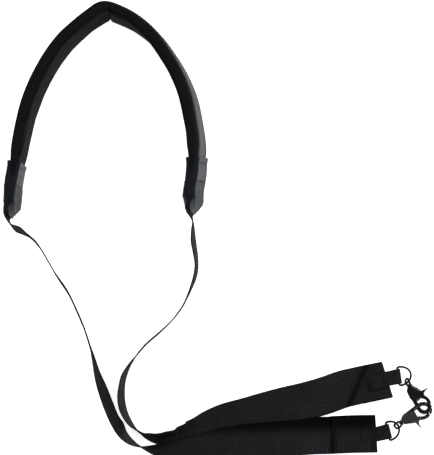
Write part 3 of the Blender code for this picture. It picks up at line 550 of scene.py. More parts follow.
def wire_loop(
    name: str, points: Sequence[Vector], up: Vector, radius: float, sides: int = 20
) -> bpy.types.Object:
    """Mesh a closed round wire along points that lie in one plane.

    Args:
        name: The piece's name.
        points: The wire's centre line.
        up: The normal of its plane.
        radius: The wire's radius.
        sides: Points round the wire.

    Returns:
        The linked object.
    """
    count = len(points)
    rings = []
    along = [0.0]
    for i, point in enumerate(points):
        ahead = points[(i + 1) % count]
        out = (ahead - points[i - 1]).cross(up).normalized()
        along.append(along[-1] + (ahead - point).length)
        angles = [2.0 * math.pi * k / sides for k in range(sides)]
        rings.append([point + (out * math.cos(a) + up * math.sin(a)) * radius for a in angles])
    around = [2.0 * math.pi * radius * k / sides for k in range(sides + 1)]
    return skin(name, rings, along, around, closed=True)


@dataclass(frozen=True)
class Thread:
    """A sewing thread laid in separate stitches on a surface."""

    length: float = 2.5 * MM
    pitch: float = 3.1 * MM
    radius: float = 0.27 * MM
    sides: int = 6
    profile: tuple[tuple[float, float, float], ...] = (
        (0.0, -0.6, 0.4), (0.14, 0.25, 0.85), (0.5, 0.55, 1.0), (0.86, 0.25, 0.85),
        (1.0, -0.6, 0.4),
    )

    def sew(
        self, name: str, seams: Iterable[Sequence[tuple[Vector, Vector]]]
    ) -> bpy.types.Object:
        """Sew rows of stitches as one piece.

        Args:
            name: The piece's name.
            seams: Lines of surface points with their outward normals.

        Returns:
            The linked object.
        """
        verts: list[tuple[float, float, float]] = []
        faces: list[tuple[int, ...]] = []
        for seam in seams:
            marks = [0.0]
            for (a, _), (b, _) in zip(seam, seam[1:]):
                marks.append(marks[-1] + (b - a).length)
            start = (marks[-1] % self.pitch) / 2
            while start + self.length <= marks[-1]:
                self.stitch(seam, marks, start, verts, faces)
                start += self.pitch
        mesh = bpy.data.meshes.new(name)
        mesh.from_pydata(verts, [], faces)
        return link_mesh(name, mesh)

    def stitch(
        self,
        seam: Sequence[tuple[Vector, Vector]],
        marks: Sequence[float],
        start: float,
        verts: list[tuple[float, float, float]],
        faces: list[tuple[int, ...]],
    ) -> None:
        """Add one stitch that dives into the surface at both ends.

        Args:
            seam: The line of surface points and normals.
            marks: The distance of each of its points.
            start: Where the stitch starts.
            verts: Vertices, which it adds to.
            faces: Faces, which it adds to.
        """
        base = len(verts)
        sides = self.sides
        begin, _ = self.place(seam, marks, start)
        end, _ = self.place(seam, marks, start + self.length)
        way = (end - begin).normalized()
        for share, lift, size in self.profile:
            point, normal = self.place(seam, marks, start + self.length * share)
            aside = way.cross(normal).normalized()
            up = aside.cross(way).normalized()
            centre = point + up * (self.radius * lift)
            for k in range(sides):
                angle = 2.0 * math.pi * k / sides
                spoke = aside * math.cos(angle) + up * (math.sin(angle) * 0.8)
                verts.append(tuple(centre + spoke * (self.radius * size)))
        for i in range(len(self.profile) - 1):
            for k in range(sides):
                n = (k + 1) % sides
                low = base + i * sides
                faces.append((low + k, low + n, low + sides + n, low + sides + k))
        faces.append(tuple(range(base + sides - 1, base - 1, -1)))
        last = base + (len(self.profile) - 1) * sides
        faces.append(tuple(range(last, last + sides)))

    @staticmethod
    def place(
        seam: Sequence[tuple[Vector, Vector]], marks: Sequence[float], distance: float
    ) -> tuple[Vector, Vector]:
        """Read a seam at a place.

        Args:
            seam: The line of surface points and normals.
            marks: The distance of each of its points.
            distance: Distance from its start.

        Returns:
            The surface point and its normal.
        """
        i = min(max(bisect_left(marks, distance) - 1, 0), len(marks) - 2)
        f = (distance - marks[i]) / max(marks[i + 1] - marks[i], 1e-9)
        return seam[i][0].lerp(seam[i + 1][0], f), seam[i][1].lerp(seam[i + 1][1], f)


class Wiring:
    """Adds nodes to one node tree and joins their sockets."""

    def __init__(self, tree: bpy.types.NodeTree) -> None:
        """Keep the tree that the nodes go into."""
        self.tree = tree

    def node(self, kind: str, **settings: object) -> bpy.types.Node:
        """Add a node and set its properties.

        Args:
            kind: The node's type.
            **settings: Its properties by name.

        Returns:
            The node.
        """
        made = self.tree.nodes.new(kind)
        for key, value in settings.items():
            setattr(made, key, value)
        return made

    def feed(self, socket: bpy.types.NodeSocket, source: Feed) -> None:
        """Join a source to a socket, or set the socket where it is a number.

        Args:
            socket: The socket.
            source: Another node's output, or a number or colour.
        """
        if isinstance(source, bpy.types.NodeSocket):
            self.tree.links.new(source, socket)
        else:
            socket.default_value = source

    def math(self, operation: str, *sources: Feed) -> bpy.types.NodeSocket:
        """Add a math node.

        Args:
            operation: What it works out.
            *sources: Its inputs in order.

        Returns:
            The result's socket.
        """
        made = self.node("ShaderNodeMath", operation=operation)
        for socket, source in zip(made.inputs, sources):
            self.feed(socket, source)
        return made.outputs[0]

    def spread(
        self, value: Feed, low: float, high: float, start: float = 0.0, stop: float = 1.0
    ) -> bpy.types.NodeSocket:
        """Map a range of a value to another, smoothly and clamped.

        Args:
            value: The value.
            low: The value that gives start.
            high: The value that gives stop.
            start: The first result.
            stop: The last result.

        Returns:
            The result's socket.
        """
        made = self.node("ShaderNodeMapRange", interpolation_type="SMOOTHSTEP")
        for key, source in zip(("Value", "From Min", "From Max", "To Min", "To Max"),
                               (value, low, high, start, stop)):
            self.feed(made.inputs[key], source)
        return made.outputs["Result"]

    def tint(self, share: Feed, first: Feed, second: Feed) -> bpy.types.NodeSocket:
        """Mix two colours.

        Args:
            share: How much of the second one.
            first: The first colour.
            second: The second colour.

        Returns:
            The mixed colour's socket.
        """
        made = self.node("ShaderNodeMix", data_type="RGBA")
        self.feed(made.inputs[0], share)
        for socket, source in zip((made.inputs[6], made.inputs[7]), (first, second)):
            plain = not isinstance(source, bpy.types.NodeSocket) and len(source) == 3
            self.feed(socket, (*source, 1.0) if plain else source)
        return made.outputs[2]

    def speckle(self, place: Feed, scale: float, detail: float = 2.0) -> bpy.types.NodeSocket:
        """Add a noise texture.

        Args:
            place: Where it is read.
            scale: Its scale, per metre.
            detail: Its detail.

        Returns:
            A value's socket, from 0 to 1.
        """
        made = self.node("ShaderNodeTexNoise")
        self.feed(made.inputs["Vector"], place)
        self.feed(made.inputs["Scale"], scale)
        self.feed(made.inputs["Detail"], detail)
        return made.outputs["Fac"]

    def cloth_place(self) -> bpy.types.NodeSocket:
        """Give the place on the cloth map, in metres along and across."""
        return self.node("ShaderNodeUVMap", uv_map=CLOTH_MAP).outputs["UV"]

    def solid_place(self) -> bpy.types.NodeSocket:
        """Give the place in the piece, in metres."""
        return self.node("ShaderNodeTexCoord").outputs["Object"]

    def mark(self, name: str) -> bpy.types.NodeSocket:
        """Give a number that the mesh carries at each point."""
        made = self.node("ShaderNodeAttribute", attribute_name=name)
        return made.outputs["Fac"]

    def relief(self, height: Feed, depth: float) -> bpy.types.NodeSocket:
        """Turn a height into a normal.

        Args:
            height: The height, from 0 to 1.
            depth: What a height of 1 stands for, in metres.

        Returns:
            The normal's socket.
        """
        made = self.node("ShaderNodeBump")
        self.feed(made.inputs["Strength"], 1.0)
        self.feed(made.inputs["Distance"], depth)
        self.feed(made.inputs["Height"], height)
        return made.outputs["Normal"]

    def effect(self, effect: "Effect", **sources: Feed) -> bpy.types.Node:
        """Add a shared effect's group.

        Args:
            effect: The effect.
            **sources: What feeds its inputs, with _ for spaces in their names.

        Returns:
            The group's node.
        """
        made = self.node("ShaderNodeGroup", node_tree=effect.group())
        for key, source in sources.items():
            self.feed(made.inputs[key.replace("_", " ")], source)
        return made


def weave_effect(wiring: Wiring, inputs: bpy.types.Node) -> dict[str, bpy.types.NodeSocket]:
    """Wire webbing's crosswise ribs, broken into floating yarns.

    Args:
        wiring: The group's wiring.
        inputs: The group's input node.

    Returns:
        The height, and a mask of painted shade in the grooves between the ribs.
    """
    split = wiring.node("ShaderNodeSeparateXYZ")
    wiring.feed(split.inputs[0], inputs.outputs["Place"])
    rib_share = 0.55
    sway = wiring.speckle(inputs.outputs["Place"], 160.0, 1.0)
    wander = wiring.math("MULTIPLY", wiring.math("SUBTRACT", sway, 0.5), 0.5)
    rib_place = wiring.math("DIVIDE", split.outputs["X"], inputs.outputs["Rib Pitch"])
    rib_place = wiring.math("ADD", rib_place, wander)
    column = wiring.math("DIVIDE", split.outputs["Y"], inputs.outputs["Yarn Pitch"])
    parity = wiring.math("FLOORED_MODULO", wiring.math("FLOOR", column), 2.0)
    parity = wiring.math("MULTIPLY", parity, 0.5)
    rib = wiring.math("COSINE", wiring.math("MULTIPLY", rib_place, 2.0 * math.pi))
    rib = wiring.math("MULTIPLY_ADD", rib, 0.5, 0.5)
    shifted = wiring.math("MULTIPLY", wiring.math("ADD", rib_place, parity), 2.0 * math.pi)
    floats = wiring.math("MULTIPLY_ADD", wiring.math("COSINE", shifted), 0.5, 0.5)
    bulge = wiring.math("ABSOLUTE", wiring.math("SINE", wiring.math("MULTIPLY", column, math.pi)))
    bulge = wiring.math("POWER", bulge, 0.6)
    yarns = wiring.math("MULTIPLY", floats, bulge)
    ribs = wiring.math("MULTIPLY", rib, rib_share)
    height = wiring.math("ADD", ribs, wiring.math("MULTIPLY", yarns, 1.0 - rib_share))
    return {"Height": height, "Groove": wiring.spread(height, 0.15, 0.75, 1.0, 0.0)}


def knit_effect(wiring: Wiring, inputs: bpy.types.Node) -> dict[str, bpy.types.NodeSocket]:
    """Wire a cover cloth's fine slanted loops.

    Args:
        wiring: The group's wiring.
        inputs: The group's input node.

    Returns:
        The height, and a mask of the gaps between the loops.
    """
    split = wiring.node("ShaderNodeSeparateXYZ")
    wiring.feed(split.inputs[0], inputs.outputs["Place"])
    column = wiring.math("DIVIDE", split.outputs["Y"], inputs.outputs["Loop Pitch"])
    fold = wiring.math("PINGPONG", column, 0.5)
    row = wiring.math("DIVIDE", split.outputs["X"], inputs.outputs["Loop Pitch"])
    slant = wiring.math("ADD", row, wiring.math("MULTIPLY", fold, 1.1))
    loops = wiring.math("COSINE", wiring.math("MULTIPLY", slant, 2.0 * math.pi))
    loops = wiring.math("MULTIPLY_ADD", loops, 0.5, 0.5)
    wale = wiring.math("ABSOLUTE", wiring.math("SINE", wiring.math("MULTIPLY", column, math.pi)))
    wales = wiring.math("MULTIPLY", wale, 0.4)
    height = wiring.math("ADD", wiring.math("MULTIPLY", loops, 0.6), wales)
    return {"Height": height, "Gap": wiring.spread(height, 0.1, 0.45, 1.0, 0.0)}


def grain_effect(wiring: Wiring, inputs: bpy.types.Node) -> dict[str, bpy.types.NodeSocket]:
    """Wire the pebbled grain of coated hide.

    Args:
        wiring: The group's wiring.
        inputs: The group's input node.

    Returns:
        The height, and a mask of the creases between the pebbles.
    """
    wander = wiring.node("ShaderNodeTexNoise")
    wiring.feed(wander.inputs["Vector"], inputs.outputs["Place"])
    wiring.feed(wander.inputs["Scale"], 420.0)
    shift = wiring.node("ShaderNodeVectorMath", operation="MULTIPLY_ADD")
    wiring.feed(shift.inputs[0], wander.outputs["Color"])
    wiring.feed(shift.inputs[1], (0.0006, 0.0006, 0.0006))
    wiring.feed(shift.inputs[2], inputs.outputs["Place"])
    cells = wiring.node("ShaderNodeTexVoronoi", feature="DISTANCE_TO_EDGE")
    wiring.feed(cells.inputs["Vector"], shift.outputs[0])
    wiring.feed(cells.inputs["Scale"], inputs.outputs["Pebbles"])
    height = wiring.spread(cells.outputs["Distance"], 0.0, 0.28)
    fine = wiring.speckle(inputs.outputs["Place"], 2600.0, 2.0)
    height = wiring.math("ADD", height, wiring.math("MULTIPLY", fine, 0.25))
    crease = wiring.spread(cells.outputs["Distance"], 0.02, 0.16, 1.0, 0.0)
    return {"Height": height, "Crease": crease}


def drift_effect(wiring: Wiring, inputs: bpy.types.Node) -> dict[str, bpy.types.NodeSocket]:
    """Wire slow changes of tone, and stray pale fibres.

    Args:
        wiring: The group's wiring.
        inputs: The group's input node.

    Returns:
        The tone from 0 to 1, and a mask of the fibres.
    """
    broad = wiring.speckle(inputs.outputs["Place"], 24.0, 3.0)
    close = wiring.speckle(inputs.outputs["Place"], 190.0, 2.0)
    tone = wiring.math("MULTIPLY_ADD", close, 0.4, wiring.math("MULTIPLY", broad, 0.6))
    stretch = wiring.node("ShaderNodeVectorMath", operation="MULTIPLY")
    wiring.feed(stretch.inputs[0], inputs.outputs["Place"])
    wiring.feed(stretch.inputs[1], (1.0, 0.16, 0.6))
    lint = wiring.speckle(stretch.outputs[0], 2400.0, 1.0)
    return {"Tone": wiring.spread(tone, 0.36, 0.64), "Fibre": wiring.spread(lint, 0.69, 0.78)}


def wear_effect(wiring: Wiring, inputs: bpy.types.Node) -> dict[str, bpy.types.NodeSocket]:
    """Wire rubbed corners and faint scratches of a dark metal.

    Args:
        wiring: The group's wiring.
        inputs: The group's input node.

    Returns:
        A mask of the rubbed corners, one of the smudges, and a fine height.
    """
    edge = wiring.spread(inputs.outputs["Sharpness"], 0.52, 0.62)
    patch = wiring.speckle(inputs.outputs["Place"], 420.0, 3.0)
    worn = wiring.math("MULTIPLY", edge, wiring.spread(patch, 0.38, 0.62))
    stretch = wiring.node("ShaderNodeVectorMath", operation="MULTIPLY")
    wiring.feed(stretch.inputs[0], inputs.outputs["Place"])
    wiring.feed(stretch.inputs[1], (1.0, 0.12, 0.5))
    height = wiring.speckle(stretch.outputs[0], 3200.0, 2.0)
    smudge = wiring.spread(wiring.speckle(inputs.outputs["Place"], 130.0, 3.0), 0.4, 0.65)
    return {"Worn": worn, "Smudge": smudge, "Height": height}


class EffectPlan(NamedTuple):
    """The inputs and outputs of a shared effect, and what wires it."""

    inputs: tuple[tuple[str, str], ...]
    outputs: tuple[str, ...]
    wire: Callable[[Wiring, bpy.types.Node], dict[str, bpy.types.NodeSocket]]


class Effect(Enum):
    """A surface effect that several finishes share."""

    WEAVE = "webbing_weave"
    KNIT = "cover_knit"
    GRAIN = "hide_grain"
    DRIFT = "tone_drift"
    WEAR = "edge_wear"

    def plan(self) -> EffectPlan:
        """Say how this effect is built.

        Returns:
            Its sockets and the function that wires it.
        """
        place = ("Place", "NodeSocketVector")
        plans = {
            Effect.WEAVE: EffectPlan(
                (place, ("Rib Pitch", "NodeSocketFloat"), ("Yarn Pitch", "NodeSocketFloat")),
                ("Height", "Groove"), weave_effect),
            Effect.KNIT: EffectPlan(
                (place, ("Loop Pitch", "NodeSocketFloat")), ("Height", "Gap"), knit_effect),
            Effect.GRAIN: EffectPlan(
                (place, ("Pebbles", "NodeSocketFloat")), ("Height", "Crease"), grain_effect),
            Effect.DRIFT: EffectPlan((place,), ("Tone", "Fibre"), drift_effect),
            Effect.WEAR: EffectPlan(
                (place, ("Sharpness", "NodeSocketFloat")), ("Worn", "Smudge", "Height"),
                wear_effect),
        }
        return plans[self]

    def group(self) -> bpy.types.NodeTree:
        """Build this effect's node group, once.

        Returns:
            The group.
        """
        found = bpy.data.node_groups.get(self.value)
        if found is not None:
            return found
        plan = self.plan()
        group = bpy.data.node_groups.new(self.value, "ShaderNodeTree")
        for name, kind in plan.inputs:
            group.interface.new_socket(name, in_out="INPUT", socket_type=kind)
        for name in plan.outputs:
            group.interface.new_socket(name, in_out="OUTPUT", socket_type="NodeSocketFloat")
        wiring = Wiring(group)
        inputs = wiring.node("NodeGroupInput")
        outputs = wiring.node("NodeGroupOutput")
        for name, socket in plan.wire(wiring, inputs).items():
            wiring.feed(outputs.inputs[name], socket)
        return group


def blank_material(name: str) -> tuple[bpy.types.Material, Wiring, bpy.types.Node]:
    """Make a material with a bare Principled shader.

    Args:
        name: The finish's name.

    Returns:
        The material, its wiring and its shader node.
    """
    made = bpy.data.materials.new(name)
    made.use_nodes = True
    shader = made.node_tree.nodes["Principled BSDF"]
    return made, Wiring(made.node_tree), shader


def scaled(colour: Colour, share: float) -> Colour:
    """Give a colour made darker by a share."""
    return tuple(value * share for value in colour)


def rough_by(wiring: Wiring, shader: bpy.types.Node, tone: Feed, low: float, high: float) -> None:
    """Vary a shader's roughness between two values by a tone."""
    wiring.feed(shader.inputs["Roughness"], wiring.spread(tone, 0.0, 1.0, low, high))


def set_shader(shader: bpy.types.Node, **values: float | tuple[float, ...]) -> None:
    """Set plain numbers on a shader's own sockets, with _ for spaces in names."""
    for key, value in values.items():
        shader.inputs[key.replace("_", " ")].default_value = value


@dataclass(frozen=True)
class WovenFinish:
    """Black woven webbing with crosswise ribs."""

    name: str
    colour: Colour
    worn_colour: Colour
    rib_pitch: float = 1.65 * MM
    yarn_pitch: float = 1.05 * MM
    specular: float = 0.009
    sheen: float = 0.001
    # How dark the painted shade in the grooves is, as a share of the colour.
    groove_shade_tone: float = 0.02
    depth: float = 0.35 * MM

    def material(self) -> bpy.types.Material:
        """Build the material."""
        made, wiring, shader = blank_material(self.name)
        place = wiring.cloth_place()
        weave = wiring.effect(
            Effect.WEAVE, Place=place, Rib_Pitch=self.rib_pitch, Yarn_Pitch=self.yarn_pitch)
        drift = wiring.effect(Effect.DRIFT, Place=place)
        tone = drift.outputs["Tone"]
        fibre = wiring.math("MULTIPLY", drift.outputs["Fibre"], 0.5)
        # The grooves between the ribs get a near-black colour as painted shade.
        groove_shade = scaled(self.colour, self.groove_shade_tone)
        base = wiring.tint(tone, scaled(self.colour, 0.78), self.colour)
        base = wiring.tint(weave.outputs["Groove"], base, groove_shade)
        base = wiring.tint(fibre, base, self.worn_colour)
        # The press mark darkens the colour toward the groove colour as painted shade.
        base = wiring.tint(wiring.mark("press"), base, groove_shade)
        wiring.feed(shader.inputs["Base Color"], base)
        rough_by(wiring, shader, tone, 0.62, 0.74)
        wiring.feed(shader.inputs["Normal"], wiring.relief(weave.outputs["Height"], self.depth))
        set_shader(
            shader, Specular_IOR_Level=self.specular, Sheen_Weight=self.sheen,
            Sheen_Roughness=0.45)
        return made


@dataclass(frozen=True)
class CoverFinish:
    """Fine knitted cloth that covers the foam."""

    name: str
    colour: Colour
    worn_colour: Colour
    loop_pitch: float = 0.95 * MM
    specular: float = 0.018
    sheen: float = 0.004
    depth: float = 0.14 * MM

    def material(self) -> bpy.types.Material:
        """Build the material, darkened as painted shade in the folds that the mesh marks as seams.
        """
        made, wiring, shader = blank_material(self.name)
        place = wiring.cloth_place()
        knit = wiring.effect(Effect.KNIT, Place=place, Loop_Pitch=self.loop_pitch)
        drift = wiring.effect(Effect.DRIFT, Place=place)
        tone = drift.outputs["Tone"]
        gap = wiring.math("MULTIPLY", knit.outputs["Gap"], 0.6)
        fibre = wiring.math("MULTIPLY", drift.outputs["Fibre"], 0.5)
        base = wiring.tint(tone, scaled(self.colour, 0.8), self.colour)
        base = wiring.tint(gap, base, scaled(self.colour, 0.3))
        base = wiring.tint(fibre, base, self.worn_colour)
        # Painted shade in the crease and along the corner seams.
        base = wiring.tint(wiring.mark("seam"), base, scaled(self.colour, 0.12))
        wiring.feed(shader.inputs["Base Color"], base)
        rough_by(wiring, shader, tone, 0.72, 0.84)
        wiring.feed(shader.inputs["Normal"], wiring.relief(knit.outputs["Height"], self.depth))
        set_shader(
            shader, Specular_IOR_Level=self.specular, Sheen_Weight=self.sheen,
            Sheen_Roughness=0.5)
        return made


@dataclass(frozen=True)
class HideFinish:
    """Grained, coated hide of the sewn tabs, in lit and shaded copies: a lighter colour on the
    faces as painted sheen, a darker one on the gusset edges.
    """

    name: str
    colour: Colour
    # The darker colour of the gusset edges, beside the faces' painted sheen.
    edge_colour: Colour
    pebbles: float = 1150.0
    specular: float = 0.06
    sheen: float = 0.01
    depth: float = 0.12 * MM

    def material(self) -> bpy.types.Material:
        """Build the material, with painted shade where the mesh marks seams and ridge valleys, and
        the darker edge colour where it marks gussets.
        """
        made, wiring, shader = blank_material(self.name)
        place = wiring.cloth_place()
        grain = wiring.effect(Effect.GRAIN, Place=place, Pebbles=self.pebbles)
        drift = wiring.effect(Effect.DRIFT, Place=place)
        tone = drift.outputs["Tone"]
        crease = wiring.math("MULTIPLY", grain.outputs["Crease"], 0.55)
        base = wiring.tint(tone, scaled(self.colour, 0.82), self.colour)
        base = wiring.tint(crease, base, scaled(self.colour, 0.35))
        # The gusset edges take the darker colour, the faces the lighter one as painted sheen.
        base = wiring.tint(wiring.mark("gusset"), base, self.edge_colour)
        # Painted shade in the seams and the valleys between the ridges.
        base = wiring.tint(wiring.mark("seam"), base, scaled(self.colour, 0.25))
        wiring.feed(shader.inputs["Base Color"], base)
        rough_by(wiring, shader, tone, 0.5, 0.62)
        wiring.feed(shader.inputs["Normal"], wiring.relief(grain.outputs["Height"], self.depth))
        set_shader(
            shader, Specular_IOR_Level=self.specular, Sheen_Weight=self.sheen,
            Sheen_Roughness=0.4)
        return made


@dataclass(frozen=True)
class BlackMetalFinish:
    """Blackened cast metal, rubbed bare at its corners."""

    name: str = "black_metal"
    colour: Colour = (0.0025, 0.0025, 0.003)
    bare_colour: Colour = (0.14, 0.14, 0.145)

    def material(self) -> bpy.types.Material:
        """Build the material."""
        made, wiring, shader = blank_material(self.name)
        place = wiring.solid_place()
        sharpness = wiring.node("ShaderNodeNewGeometry").outputs["Pointiness"]
        wear = wiring.effect(Effect.WEAR, Place=place, Sharpness=sharpness)
        worn = wear.outputs["Worn"]
        smudge = wear.outputs["Smudge"]
        base = wiring.tint(smudge, self.colour, scaled(self.colour, 0.7))
        base = wiring.tint(wiring.math("MULTIPLY", worn, 0.6), base, self.bare_colour)
        wiring.feed(shader.inputs["Base Color"], base)
        wiring.feed(shader.inputs["Metallic"], wiring.math("MULTIPLY", worn, 0.8))
        rough_by(wiring, shader, smudge, 0.16, 0.3)
        wiring.feed(shader.inputs["Normal"], wiring.relief(wear.outputs["Height"], 0.012 * MM))
        set_shader(shader, Specular_IOR_Level=0.12)
        return made


@dataclass(frozen=True)
class ThreadFinish:
    """Black sewing thread."""

    name: str = "black_thread"
    colour: Colour = (0.007, 0.007, 0.008)

    def material(self) -> bpy.types.Material:
        """Build the material, with a fine twist."""
        made, wiring, shader = blank_material(self.name)
        place = wiring.solid_place()
        drift = wiring.effect(Effect.DRIFT, Place=place)
        tone = drift.outputs["Tone"]
        base = wiring.tint(tone, scaled(self.colour, 0.6), self.colour)
        wiring.feed(shader.inputs["Base Color"], base)
        rough_by(wiring, shader, tone, 0.5, 0.6)
        twist = wiring.speckle(place, 5200.0, 1.0)
        wiring.feed(shader.inputs["Normal"], wiring.relief(twist, 0.04 * MM))
        set_shader(shader, Specular_IOR_Level=0.06)
        return made


@dataclass(frozen=True)
class FloorFinish:
    """Pale matt paper that the strap lies on."""

    name: str = "pale_floor"
    colour: Colour = (0.86, 0.86, 0.86)
    glow: float = 0.8

    def material(self) -> bpy.types.Material:
        """Build the material."""
        made, wiring, shader = blank_material(self.name)
        place = wiring.solid_place()
        tone = wiring.speckle(place, 3.0, 2.0)
        shade = scaled(self.colour, 0.99)
        wiring.feed(shader.inputs["Base Color"], wiring.tint(tone, shade, self.colour))
        set_shader(
            shader, Roughness=0.9, Specular_IOR_Level=0.05,
            Emission_Color=(1.0, 1.0, 1.0, 1.0), Emission_Strength=self.glow)
        return made


class StrapArch:
    """The arch that the pad stands in, and what lies where along it."""

    SPAN = 184.5 * MM
    RISE = 205.0 * MM
    LEFT = -211.25 * MM
    FOOT = 20.75 * MM
    PAD_THICKNESS = 11.0 * MM
    PAD_TAPER = 38.0 * MM
    PAD_INSET = 8.0 * MM
    PAD_SQUEEZE = 1.4 * MM
    TAB_LENGTH = 60.0 * MM

    def __init__(self) -> None:
        """Fit the arch's centre line through its rows."""
        self.route = Route([
            (self.LEFT + row.across * self.SPAN, self.FOOT + row.rise * self.RISE, row.lean)
            for row in ARCH_ROWS
        ])
        self.length = self.route.length

    def point(self, distance: float, across: float, height: float) -> Vector:
        """Give a point of the arch.

        Args:
            distance: Distance along the arch.
            across: How far it lies outward of the centre line.
            height: Its height.

        Returns:
            The point.
        """
        x, y, lean = self.route.at(distance)
        outward = left_of(self.route.heading(distance))
        shift = across - lean * (height - PAD_WIDTH / 2)
        return Vector((x, y, 0.0)) + outward * shift + Vector((0.0, 0.0, height))

    def pad_faces(self, distance: float) -> tuple[float, float, float]:
        """Give the pad's faces at a place, as across.

        Args:
            distance: Distance along the arch.

        Returns:
            The inner face, the outer face and the inset of the two edges.
        """
        place = min(max(distance, self.PAD_INSET), self.length - self.PAD_INSET)
        end = min(place, self.length - place) - self.PAD_INSET
        f = ease(end / self.PAD_TAPER)
        mouth = (end + self.PAD_INSET - self.TAB_LENGTH) / (self.PAD_INSET * 2) + 0.5
        squeeze = self.PAD_SQUEEZE * (1.0 - ease(mouth))
        outer = mix(-(WEBBING_THICKNESS / 2 + GAP), self.PAD_THICKNESS / 2 - squeeze, f)
        inner = mix(-self.PAD_THICKNESS * 0.42, -self.PAD_THICKNESS / 2 + squeeze, f)
        return inner, outer, mix((PAD_WIDTH - WEBBING_WIDTH) * 0.42, 0.0, f)

    def webbing_offset(self, distance: float) -> float:
        """Give where the webbing's middle lies outward of the centre line."""
        return self.pad_faces(distance)[1] + GAP + WEBBING_THICKNESS / 2


@dataclass
class FoamPad:
    """The foam pad in its knitted cover, standing on edge along the arch."""

    arch: StrapArch
    finish: CoverFinish
    corner: float = 3.4 * MM
    slack: float = 0.45 * MM
    station: float = 3.0 * MM
    parts: tuple[int, int, int] = (6, 22, 5)
    crown: float = 0.5 * MM
    bulge: float = 1.2 * MM
    bulge_place: float = 4.6 * MM
    bulge_width: float = 3.4 * MM
    bulge_free: float = 45.0 * MM
    pressure: float = 4.0
    swell_frames: int = 20
    swell_cap: float = 1.0 * MM
    floor_play: float = 0.12 * MM
    press_play: float = 0.1 * MM
    crease_share: float = 0.51
    crease_depth: float = 2.3 * MM
    crease_width: float = 1.5 * MM
    crease_slant: float = 7.5 * MM
    seam_depth: float = 0.45 * MM
    seam_width: float = 1.3 * MM
    wrinkle: float = 0.16 * MM
    distances: list[float] = field(default_factory=list)

    def outline(self, distance: float) -> list[tuple[float, float]]:
        """Trace the pad's slack section.

        Args:
            distance: Distance along the arch.

        Returns:
            Points as (across, height).
        """
        inner, outer, inset = self.arch.pad_faces(distance)
        low = inset + self.slack
        high = PAD_WIDTH - inset - self.slack
        ring = rounded_ring(inner + self.slack, outer, low, high, self.corner, self.parts)
        middle = PAD_WIDTH / 2
        level = 1.0 - bell(distance - self.arch.length * self.crease_share, self.bulge_free)
        level *= 1.0 - ease(inset / (1.0 * MM))
        crowned = []
        for across, height in ring:
            crown = 1.0 - ((height - middle) / (high - middle)) ** 2
            inward = max(0.0, (outer + inner) / 2 - across) / ((outer - inner) / 2)
            outward = ease(((across - inner) / (outer - inner) - 0.6) / 0.4)
            beside = abs(height - middle) - WEBBING_WIDTH / 2
            bulge = self.bulge * outward * level
            bulge *= bell(beside - self.bulge_place, self.bulge_width)
            crowned.append((across - self.crown * crown * inward + bulge, height))
        return crowned

    def build(self) -> bpy.types.Object:
        """Build, swell and crease the pad.

        Returns:
            The finished pad.
        """
        start = self.arch.PAD_INSET
        crest = self.arch.length * self.crease_share
        reach = self.crease_width * 4.0
        near = spaced(crest - reach - self.crease_slant, crest + reach, self.crease_width * 0.35)
        before = spaced(start, near[0], self.station)
        after = spaced(near[-1], self.arch.length - start, self.station)
        self.distances = before[:-1] + near + after[1:]
        outlines = [self.outline(distance) for distance in self.distances]
        rings = [
            [self.arch.point(distance, across, height) for across, height in ring]
            for distance, ring in zip(self.distances, outlines)
        ]
        around = lengths_round(outlines[len(outlines) // 2])
        pad = skin("foam_pad", rings, self.distances, around)
        self.swell(pad, outlines)
        self.press(pad, outlines)
        pad.modifiers.new("rounding", "SUBSURF").render_levels = 1
        pad.modifiers["rounding"].levels = 1
        pad.data.materials.append(self.finish.material())
        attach(pad, "base")
        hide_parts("pad")
        return pad

    def held(self, outlines: list[list[tuple[float, float]]]) -> list[int]:
        """List the points that the tabs, the webbing and the floor hold still.

        Args:
            outlines: The pad's sections as (across, height) pairs.

        Returns:
            The points' numbers.
        """
        size = len(outlines[0])
        points = []
        for i, ring in enumerate(outlines):
            end = min(self.distances[i], self.arch.length - self.distances[i])
            _, outer, _ = self.arch.pad_faces(self.distances[i])
            for k, (across, height) in enumerate(ring):
                under = abs(height - PAD_WIDTH / 2) < WEBBING_WIDTH / 2
                sewn = under and across > outer - 0.1 * MM
                if end < self.arch.TAB_LENGTH or sewn or height < 1.0 * MM:
                    points.append(i * size + k)
        return points

    def swell(self, pad: bpy.types.Object, outlines: list[list[tuple[float, float]]]) -> None:
        """Puff the cover by a cloth simulation, capped and written to the mesh.

        Args:
            pad: The slack pad.
            outlines: Its sections as (across, height) pairs.
        """
        scene = bpy.context.scene
        rest = [vertex.co.copy() for vertex in pad.data.vertices]
        held = pad.vertex_groups.new(name="held")
        held.add(self.held(outlines), 1.0, "REPLACE")
        cloth = pad.modifiers.new("swell", "CLOTH")
        cloth.settings.quality = 5
        cloth.settings.mass = 0.3
        cloth.settings.use_pressure = True
        cloth.settings.uniform_pressure_force = self.pressure
        cloth.settings.effector_weights.gravity = 0.0
        cloth.settings.vertex_group_mass = "held"
        cloth.point_cache.frame_start = 1
        cloth.point_cache.frame_end = self.swell_frames
        for step in range(1, self.swell_frames + 1):
            scene.frame_set(step)
        swollen = pad.evaluated_get(bpy.context.evaluated_depsgraph_get())
        places = [vertex.co.copy() for vertex in swollen.data.vertices]
        pad.modifiers.remove(cloth)
        pad.vertex_groups.remove(held)
        scene.frame_set(1)
        most = 0.0
        for vertex, start, end in zip(pad.data.vertices, rest, places):
            move = end - start
            if move.length > 1e-9:
                most = max(most, move.length)
                capped = self.swell_cap * math.tanh(move.length / self.swell_cap)
                move = move.normalized() * capped
            vertex.co = start + move
            vertex.co.z = max(vertex.co.z, self.floor_play)
        LOG.info("foam pad swelled by up to %.2f mm before its cap", most / MM)

